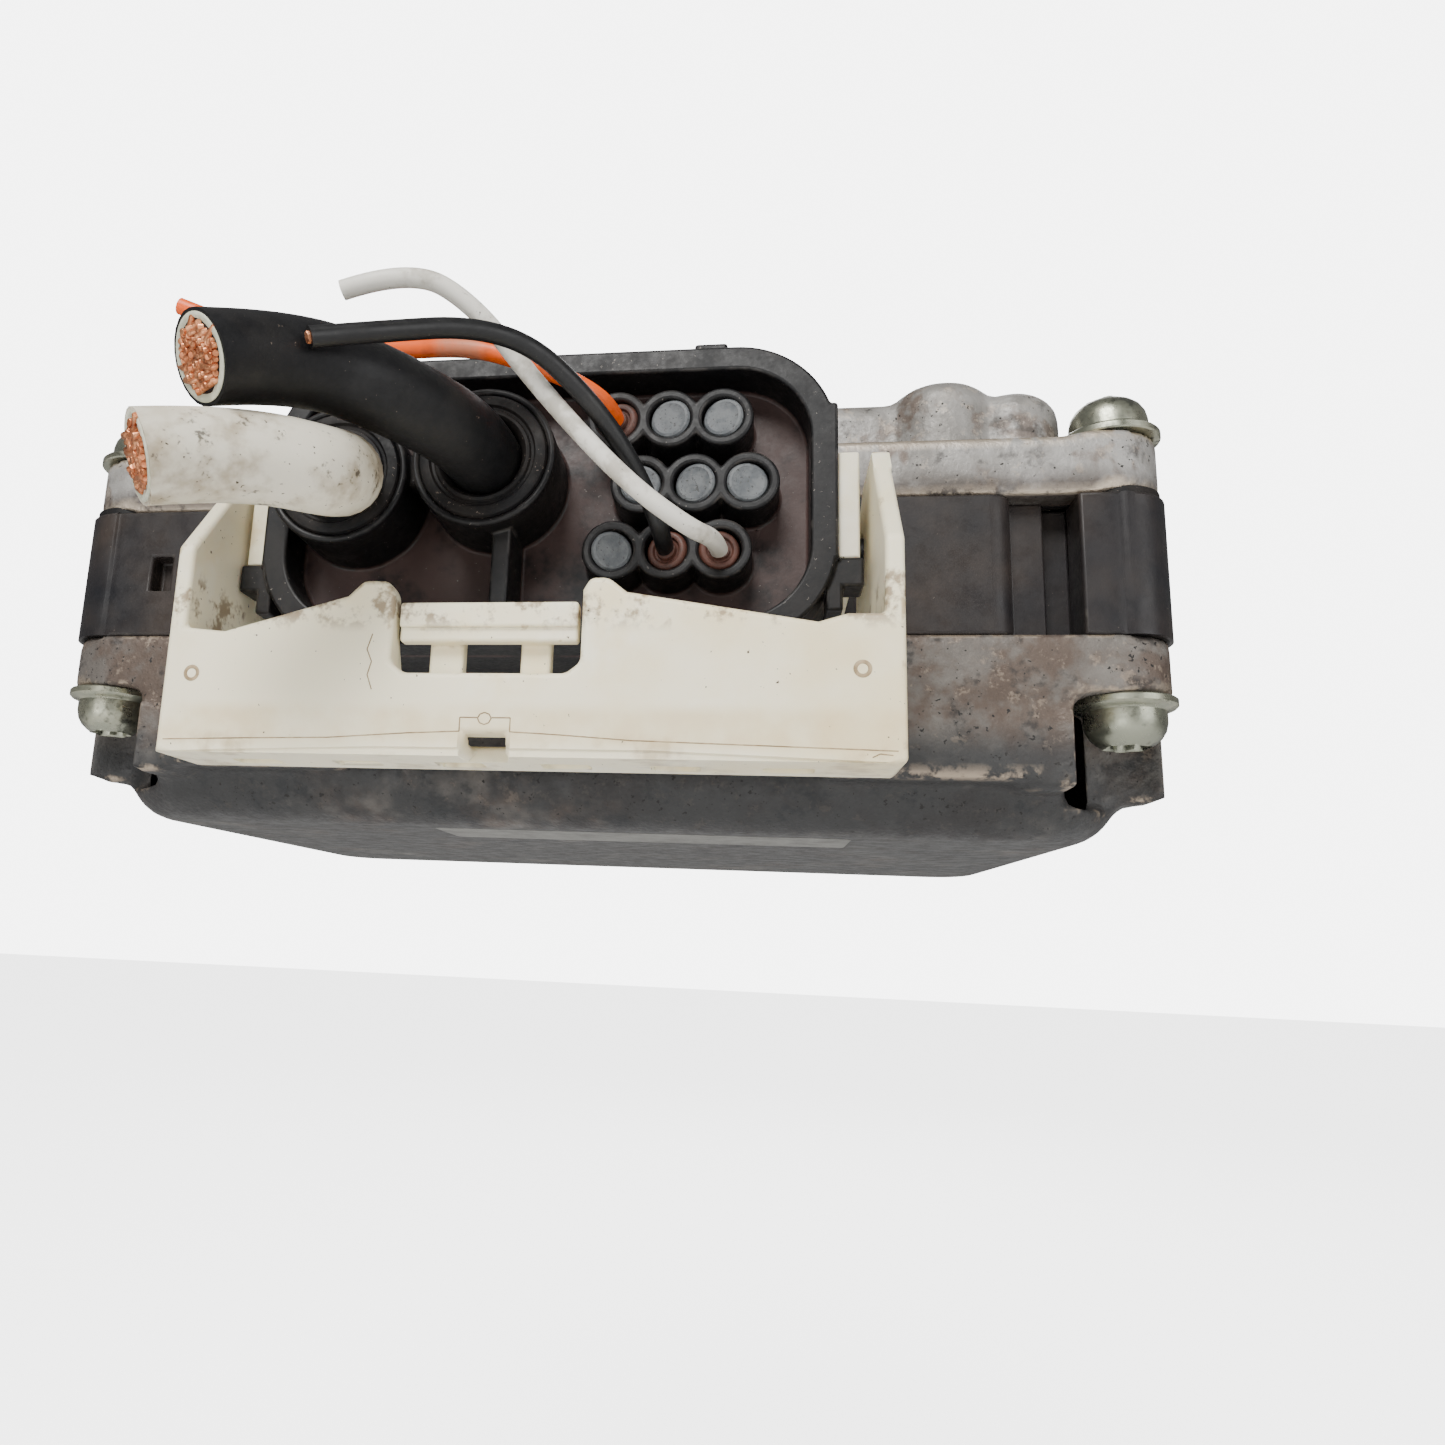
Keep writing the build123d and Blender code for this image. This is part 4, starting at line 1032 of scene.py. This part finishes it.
@dataclass
class Connector:
    """The plug: hood, rings, cavity plugs, wire seals and slides."""

    piece: Piece
    repeater: Repeater
    seal_mm: float = 2.0
    steps: int = 40

    def cells(self, node: str) -> list[Point]:
        """Centres of the separate solids of a CAD node.

        Args:
            node: the node.

        Returns:
            A centre for each solid.
        """
        shell = bmesh.new()
        shell.from_mesh(frame_nodes()[node].data)
        bmesh.ops.remove_doubles(shell, verts=shell.verts, dist=WELD)
        left = set(shell.verts)
        centres = []
        for first in shell.verts:
            if first not in left:
                continue
            left.remove(first)
            stack = [first]
            low, high = first.co.copy(), first.co.copy()
            while stack:
                vert = stack.pop()
                for k in range(3):
                    low[k] = min(low[k], vert.co[k])
                    high[k] = max(high[k], vert.co[k])
                for edge in vert.link_edges:
                    other = edge.other_vert(vert)
                    if other in left:
                        left.remove(other)
                        stack.append(other)
            centres.append(tuple((low + high) / 2))
        shell.free()
        return centres

    def build(self) -> None:
        """Makes the plug's pieces."""
        hood = self.piece.softened("connector_housing", 0.3 * MM)
        self.piece.place("plug_hood", hood, "hood_plastic", Body.PLUG, ("connector_housing",))
        slides = self.piece.softened("cam_slides", 0.25 * MM)
        # The slides take the darker ivory copy, which holds painted shade as well as grease staining.
        self.piece.place("plug_slides", slides, "ivory_aged_and_shaded", Body.PLUG, ("cam_slides",))
        rim_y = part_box("cavity_plugs")[0][1]
        r = self.seal_mm
        stopper = Piece.turned("stopper", [
            (r * 0.96, -2.6, 0), (r * 0.96, -0.5, 0), (r * 0.98, -0.25, 0), (r * 0.9, -0.05, 0),
            (r * 0.78, 0.0, 0), (r * 0.72, -0.06, 0), (r * 0.3, -0.02, 0)], self.steps)
        points = [(x, rim_y, z) for x, _, z in self.cells("cavity_plugs")]
        rubber = self.piece.palette.get("plug_rubber")
        mesh = self.repeater.spread("cavity_stoppers", stopper, points, rubber, FACING, 0.03, seed=4)
        self.piece.place("cavity_stoppers", mesh, "plug_rubber", Body.PLUG, ("cavity_plugs",))
        bush = Piece.turned("bush", [
            (r * 0.97, -2.8, 0), (r * 0.97, -0.35, 0), (r * 0.9, -0.1, 0), (r * 0.8, 0.0, 0), (r * 0.66, -0.05, 0),
            (r * 0.58, -0.28, 0), (r * 0.5, -0.3, 0), (r * 0.44, 0.1, 0), (r * 0.40, 0.12, 0)], self.steps)
        points = [(x, rim_y + 0.1 * MM, z) for x, _, z in self.cells("signal_seals")]
        rubber = self.piece.palette.get("seal_rubber")
        mesh = self.repeater.spread("wire_seals", bush, points, rubber, FACING, 0.02, seed=5)
        self.piece.place("wire_seals", mesh, "seal_rubber", Body.PLUG, ("signal_seals",))
        holder = Piece.turned("holder", [
            (6.25, -2.6, 0), (6.25, -0.35, 0), (6.1, -0.1, 0), (5.8, 0.0, 0), (5.2, 0.0, 0), (5.0, -0.25, 0),
            (4.75, -0.28, 0), (4.6, -0.02, 0), (4.3, 0.05, 0), (4.1, -0.1, 0), (3.8, -0.6, 0), (3.6, -1.6, 0)], 64)
        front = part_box("power_retainers")[0][1]
        points = [(x, front, z) for x, _, z in self.cells("power_retainers")]
        rubber = self.piece.palette.get("ring_rubber")
        mesh = self.repeater.spread("lead_rings", holder, points, rubber, FACING, seed=6)
        self.piece.place("lead_rings", mesh, "ring_rubber", Body.PLUG, ("power_retainers",))


@dataclass
class Lever:
    """The white U lever with its lock and gate marks."""

    piece: Piece
    repeater: Repeater
    radius: float = 0.5 * MM
    lock_inset: float = 0.6 * MM
    line_proud: float = 0.03 * MM
    line_sunk: float = 0.1 * MM
    marks: tuple[tuple[float, float], ...] = ((-29.6, 9.0), (28.9, 9.6))
    line_width: float = 0.09 * MM
    lines: tuple[tuple[tuple[float, float], ...], ...] = (
        ((-31.6, 2.95), (-24.0, 3.15), (-16.3, 3.3), (-9.0, 3.8), (-4.5, 4.0), (-4.5, 5.2), (-3.0, 5.2)),
        ((-1.7, 5.2), (-0.1, 5.2), (-0.1, 4.0), (4.0, 3.8), (10.2, 3.4), (20.0, 3.15), (31.6, 2.85)),
        ((-2.95, 5.15), (-2.75, 5.5), (-2.35, 5.65), (-1.95, 5.5), (-1.75, 5.15), (-1.95, 4.75), (-2.35, 4.6),
         (-2.75, 4.75), (-2.95, 5.15)),
        ((-12.9, 12.6), (-13.3, 11.2), (-12.8, 10.1), (-13.1, 8.9), (-12.6, 7.6)),
        ((29.6, 2.3), (30.2, 2.6), (31.2, 2.5)),
    )

    def build(self) -> None:
        """Makes the lever and the lock."""
        mesh = self.piece.softened("locking_lever", self.radius, 4, every=False)
        self.piece.place("lever_bail", mesh, "ivory", Body.LEVER, ("locking_lever",))
        lock = self.piece.softened("lever_lock", 0.3 * MM)
        self.piece.place("lock_bar", lock, "ivory", Body.LOCK, ("lever_lock",))
        gate = Piece.turned("gate", [
            (0.75, -0.3, 0), (0.75, 0.02, 0), (0.62, 0.07, 0), (0.45, 0.05, 0), (0.35, -0.12, 0), (0.12, -0.1, 0)],
            24)
        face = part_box("lever_lock")[0][1] - self.lock_inset
        points = [(x * MM, face, z * MM) for x, z in self.marks]
        mesh = self.repeater.spread("gate_marks", gate, points, self.piece.palette.get("grime"), FACING, seed=7)
        self.piece.place("gate_marks", mesh, "grime", Body.LEVER)
        self._lines(face)

    def _lines(self, face: float) -> None:
        """Dirt-filled parting lines and the insert's outline on the bail.

        Args:
            face: Y of the bail's outer face.
        """
        shell = bmesh.new()
        for path in self.lines:
            for (xa, za), (xb, zb) in zip(path, path[1:]):
                a, b = Vector((xa * MM, 0, za * MM)), Vector((xb * MM, 0, zb * MM))
                along = (b - a).normalized()
                side = Vector((-along.z, 0, along.x)) * self.line_width / 2
                low = [a - side, b - side, b + side, a + side]
                ring = [shell.verts.new((v.x, face - self.line_proud, v.z)) for v in low]
                base = [shell.verts.new((v.x, face + self.line_sunk, v.z)) for v in low]
                shell.faces.new(ring)
                shell.faces.new(list(reversed(base)))
                for k in range(4):
                    shell.faces.new((ring[k], base[k], base[(k + 1) % 4], ring[(k + 1) % 4]))
        bmesh.ops.recalc_face_normals(shell, faces=shell.faces)
        mesh = bpy.data.meshes.new("parting_lines")
        shell.to_mesh(mesh)
        shell.free()
        self.piece.place("parting_lines", mesh, "grime", Body.LEVER)


@dataclass
class Lead:
    """A free lead or wire along a given route."""

    name: str
    node: str
    route_mm: list[Point]
    diameter_mm: float
    length_mm: float
    finish: str
    stiffness: str
    core_node: str = ""
    core_mm: float = 1.0
    stranded: bool = False
    seed: int = 1
    stripped: bool = True
    strand_pitch_mm: float = 0.5
    strand_tilt: float = 0.16
    strand_rise: float = 0.3 * MM

    def spline(self, bevel: float) -> bpy.types.Object:
        """Curve object of one smooth spline through the route.

        Args:
            bevel: tube radius, zero for a bare line.

        Returns:
            The object.
        """
        data = bpy.data.curves.new(self.name, "CURVE")
        data.dimensions = "3D"
        data.resolution_u = 14
        data.bevel_depth = bevel
        data.bevel_resolution = 10
        data.use_fill_caps = True
        spline = data.splines.new("NURBS")
        spline.points.add(len(self.route_mm) - 1)
        for point, place in zip(spline.points, self.route_mm):
            point.co = (place[0] * MM, place[1] * MM, place[2] * MM, 1.0)
        spline.order_u = 3
        spline.use_endpoint_u = True
        made = bpy.data.objects.new(self.name, data)
        bpy.context.scene.collection.objects.link(made)
        return made

    def end(self) -> tuple[Vector, Vector]:
        """Cut end of the lead.

        Returns:
            The end point and the direction it points.
        """
        line = Piece.evaluated(self.spline(0.0))
        last, before = line.vertices[-1].co.copy(), line.vertices[-2].co.copy()
        bpy.data.meshes.remove(line)
        return last, (last - before).normalized()

    def build(self, piece: Piece, repeater: Repeater) -> None:
        """Makes the lead, its conductor and its cut face.

        Args:
            piece: the piece maker.
            repeater: sets the strands.
        """
        made = self.spline(self.diameter_mm / 2 * MM)
        made.data.materials.append(piece.palette.get(self.finish))
        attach(made, Body.PLUG.value)
        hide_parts(self.node)
        tip, way = self.end()
        turn = way.to_track_quat("Z", "Y").to_euler()
        if self.stranded:
            self._strands(piece, repeater, tip, turn)
            self._cut_face(piece, tip, turn)
        elif self.stripped:
            self._nib(piece, tip, turn)

    def _strands(self, piece: Piece, repeater: Repeater, tip: Vector, turn: Euler) -> bpy.types.Object:
        """Bundle of copper strands at the cut.

        Args:
            piece: the piece maker.
            repeater: sets the strands.
            tip: the end point.
            turn: the rotation onto the lead's direction.

        Returns:
            The piece.
        """
        strand = Piece.turned("strand", [
            (0.20, -1.4, 0), (0.27, -1.3, 0), (0.27, 0.12, 0), (0.22, 0.2, 0), (0.08, 0.22, 0)], 10)
        pitch = self.strand_pitch_mm
        radius = self.core_mm / 2 - pitch / 2
        row_pitch = pitch * HEX_ROW
        rotation = turn.to_matrix()
        points = []
        rows = int(radius / row_pitch) + 1
        for row in range(-rows, rows + 1):
            for col in range(-rows - 2, rows + 3):
                x = (col + 0.5 * (row % 2)) * pitch
                y = row * row_pitch
                if math.hypot(x, y) <= radius:
                    points.append(tuple(tip + rotation @ Vector((x * MM, y * MM, 0.0))))
        name = self.name + "_strands"
        copper = piece.palette.get("copper")
        mesh = repeater.spread(name, strand, points, copper, tuple(turn), self.strand_tilt, self.strand_rise,
                               self.seed)
        return piece.place(name, mesh, "copper", Body.PLUG, (self.core_node,))

    def _cut_face(self, piece: Piece, tip: Vector, turn: Euler) -> bpy.types.Object:
        """Pale ring of the cut insulation.

        Args:
            piece: the piece maker.
            tip: the end point.
            turn: the rotation onto the lead's direction.

        Returns:
            The piece.
        """
        outer, inner = self.diameter_mm / 2, self.core_mm / 2
        rows = [(inner - 0.1, -0.6, 0), (outer - 0.32, -0.6, 0), (outer - 0.30, 0.04, 0), (outer - 0.38, 0.09, 0),
                (inner + 0.1, 0.10, 0.015), (inner - 0.1, -0.02, 0.02)]
        mesh = Piece.turned(self.name + "_cut", rows, 48, 5)
        mesh.transform(Matrix.Translation(tip) @ turn.to_matrix().to_4x4())
        return piece.place(self.name + "_cut", mesh, "insulation_core", Body.PLUG)

    def _nib(self, piece: Piece, tip: Vector, turn: Euler) -> bpy.types.Object:
        """Copper at the end of a thin wire.

        Args:
            piece: the piece maker.
            tip: the end point.
            turn: the rotation onto the wire's direction.

        Returns:
            The piece.
        """
        half = self.core_mm / 2
        rows = [(half, -0.8, 0), (half, 0.1, 0.06), (half * 0.9, 0.22, 0.1), (half * 0.5, 0.26, 0.1)]
        mesh = Piece.turned(self.name + "_copper", rows, 36, 7)
        mesh.transform(Matrix.Translation(tip) @ turn.to_matrix().to_4x4())
        return piece.place(self.name + "_copper", mesh, "copper", Body.PLUG)


def leads() -> list[Lead]:
    """The two power leads and the three signal wires.

    Returns:
        The leads, along the routes of the CAD part.
    """
    return [
        Lead("power_lead_black", "black_lead",
             [(-5.4, -57.8, 31.3), (-5.5, -65.4, 31.6), (-5.5, -75.6, 31.6), (-10.4, -82.9, 32.2),
              (-16.9, -88.4, 32.9),
              (-21.5, -94.9, 29.1)],
             POWER_MM, 43.3, "lead_black", "stiff", "black_lead_core", 5.6, True, 11),
        Lead("power_lead_white", "white_lead",
             [(-19.8, -57.8, 29.9), (-19.9, -65.4, 30.2), (-19.9, -73.0, 30.2), (-12.7, -85.7, 23.4),
              (-19.7, -91.4, 23.1), (-24.9, -95.8, 20.7)],
             POWER_MM, 45.3, "lead_white", "stiff", "white_lead_core", 5.6, True, 12),
        Lead("signal_wire_white", "white_wire",
             [(16.95, -65.5, 23.15), (16.95, -70.9, 23.15), (14.5, -75.5, 22.5), (8.9, -77.9, 26.1),
              (1.4, -78.8, 34.3),
              (-4.2, -82.1, 40.9), (-9.4, -84.4, 43.2), (-15.4, -84.5, 41.3)],
             SIGNAL_MM, 49.3, "wire_white", "medium", stripped=False),
        Lead("signal_wire_black", "black_wire",
             [(11.9, -65.5, 23.15), (11.9, -70.6, 23.15), (10.7, -72.5, 26.5), (8.2, -76.4, 30.5), (5.2, -79.3, 33.7),
              (1.2, -82.4, 36.6), (-3.4, -85.7, 36.5), (-8.9, -89.2, 34.2), (-14.0, -92.6, 31.8)],
             SIGNAL_MM, 44.7, "wire_black", "medium"),
        Lead("signal_wire_orange", "orange_wire",
             [(6.85, -65.5, 36.45), (6.85, -70.8, 36.45), (4.2, -74.0, 37.4), (-0.6, -75.6, 38.9),
              (-6.0, -76.0, 40.6),
              (-14.5, -73.6, 42.0), (-25.6, -71.8, 44.5), (-33.5, -72.2, 46.8), (-38.0, -73.0, 48.5)],
             SIGNAL_MM, 53.5, "wire_orange", "medium"),
    ]


@dataclass
class Inner:
    """Finishes on the CAD nodes whose own shape stays."""

    palette: Palette

    def build(self) -> None:
        """Gives every node that still shows a finish."""
        for finish, nodes in {
            "steel": ("lower_bearing", "upper_bearing", "motor_shaft", "motor_pinion", "idler_gear", "idler_pin",
                      "output_hub"),
            "laminate": ("stator_core", "rotor_core", "output_gear", "output_bearing", "choke"),
            "copper": ("stator_windings", "bus_bars"),
            "magnet": ("rotor_magnets", "capacitors"),
            "ring_rubber": ("lower_gasket", "upper_gasket", "output_seal", "power_seals"),
            "hood_plastic": ("power_transistors", "processor", "breather"),
            "tin": ("header_signal_pins", "header_power_pins", "signal_terminals", "power_terminals"),
            "board": ("circuit_board",),
            "zinc_plate": ("board_screws",),
            "label_strip": ("label_plate",),
        }.items():
            for name in nodes:
                node = frame_nodes()[name]
                material = self.palette.get(finish)
                if not node.material_slots:
                    node.data.materials.append(material)
                for entry in node.material_slots:
                    entry.material = material


@dataclass
class Studio:
    """Camera, floor and soft light."""

    eye_mm: Point = (20.21, -161.84, -12.30)
    right: Point = (0.98743, 0.15215, 0.04277)
    up: Point = (-0.01159, -0.20023, 0.97968)
    lens: float = 26.16
    shift: float = 0.0945
    floor_z: float = -0.16
    floor_half: float = 3.0
    floor_glow: float = 3.5
    floor_colour: Colour = (0.95, 0.95, 0.95)
    floor_rough: float = 0.9
    ambient: float = 0.22
    backdrop: float = 6.0
    sensor: float = 36.0

    def camera(self) -> None:
        """Makes the camera."""
        data = bpy.data.cameras.new("camera")
        data.lens = self.lens
        data.sensor_width = self.sensor
        data.shift_x = self.shift
        data.clip_start = 0.005
        data.clip_end = 20.0
        made = bpy.data.objects.new("camera", data)
        right = Vector(self.right).normalized()
        back = right.cross(Vector(self.up)).normalized()
        above = back.cross(right)
        turn = Matrix((right, above, back)).transposed().to_4x4()
        made.matrix_world = Matrix.Translation(Vector(self.eye_mm) * MM) @ turn
        bpy.context.scene.collection.objects.link(made)
        bpy.context.scene.camera = made

    def light(self, name: str, place: Point, target: Point, size: float, power: float,
              colour: Colour = WHITE) -> None:
        """Adds a soft area light.

        Args:
            name: its name.
            place: where it stands.
            target: what it faces.
            size: side of the square.
            power: watts.
            colour: its colour.
        """
        data = bpy.data.lights.new(name, "AREA")
        data.energy = power
        data.size = size
        data.color = colour
        made = bpy.data.objects.new(name, data)
        made.location = place
        made.rotation_euler = (Vector(target) - Vector(place)).to_track_quat("-Z", "Y").to_euler()
        bpy.context.scene.collection.objects.link(made)

    def world(self) -> None:
        """Makes the pale surroundings, dimmer as light than as backdrop."""
        world = bpy.data.worlds.new("studio")
        world.use_nodes = True
        graph = Graph(world.node_tree)
        seen = graph.node("ShaderNodeLightPath").outputs["Is Camera Ray"]
        background = world.node_tree.nodes["Background"]
        background.inputs["Color"].default_value = (*WHITE, 1.0)
        graph.put(graph.blend(seen, self.ambient, self.backdrop), background.inputs["Strength"])
        bpy.context.scene.world = world

    def floor(self) -> None:
        """Makes the plain pale floor."""
        mesh = bpy.data.meshes.new("floor")
        half = self.floor_half
        corners = [(x, y, self.floor_z) for x, y in ((-half, -half), (half, -half), (half, half), (-half, half))]
        mesh.from_pydata(corners, [], [(0, 1, 2, 3)])
        floor = bpy.data.objects.new("floor", mesh)
        bpy.context.scene.collection.objects.link(floor)
        material = bpy.data.materials.new("floor")
        material.use_nodes = True
        graph = Graph(material.node_tree)
        shader = material.node_tree.nodes["Principled BSDF"]
        shader.inputs["Base Color"].default_value = (*self.floor_colour, 1.0)
        shader.inputs["Roughness"].default_value = self.floor_rough
        shader.inputs["Emission Color"].default_value = (*WHITE, 1.0)
        seen = graph.node("ShaderNodeLightPath").outputs["Is Camera Ray"]
        graph.put(graph.math("MULTIPLY", seen, self.floor_glow), shader.inputs["Emission Strength"])
        mesh.materials.append(material)

    def build(self) -> None:
        """Makes the world, the floor and the lights."""
        self.world()
        self.floor()
        self.light("key", (-0.10, -0.55, 0.45), (0.0, -0.05, 0.03), 0.30, 6.6, (1.0, 0.99, 0.97))
        self.light("fill", (0.45, -0.45, 0.10), (0.0, -0.05, 0.03), 0.4, 1.6)
        self.light("low", (-0.15, -0.45, -0.10), (0.0, -0.05, 0.02), 0.3, 0.8)
        self.light("back", (0.1, 0.6, 0.45), (0.0, 0.0, 0.04), 0.5, 3.0)


def main() -> None:
    """Builds the scene in order."""
    logging.basicConfig(level=logging.INFO, format="%(name)s %(message)s")
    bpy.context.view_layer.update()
    studio = Studio()
    studio.camera()
    palette = Palette()
    piece = Piece(palette)
    repeater = Repeater()
    for lead in leads():
        lead.build(piece, repeater)
    LOG.info("leads made")
    Castings(piece).build()
    Screws(piece, repeater).build()
    LOG.info("castings and screws made")
    Connector(piece, repeater).build()
    Lever(piece, repeater).build()
    LOG.info("connector and lever made")
    Inner(palette).build()
    studio.build()
    LOG.info("pieces done")


if __name__ == "__main__":
    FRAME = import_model()
    main()
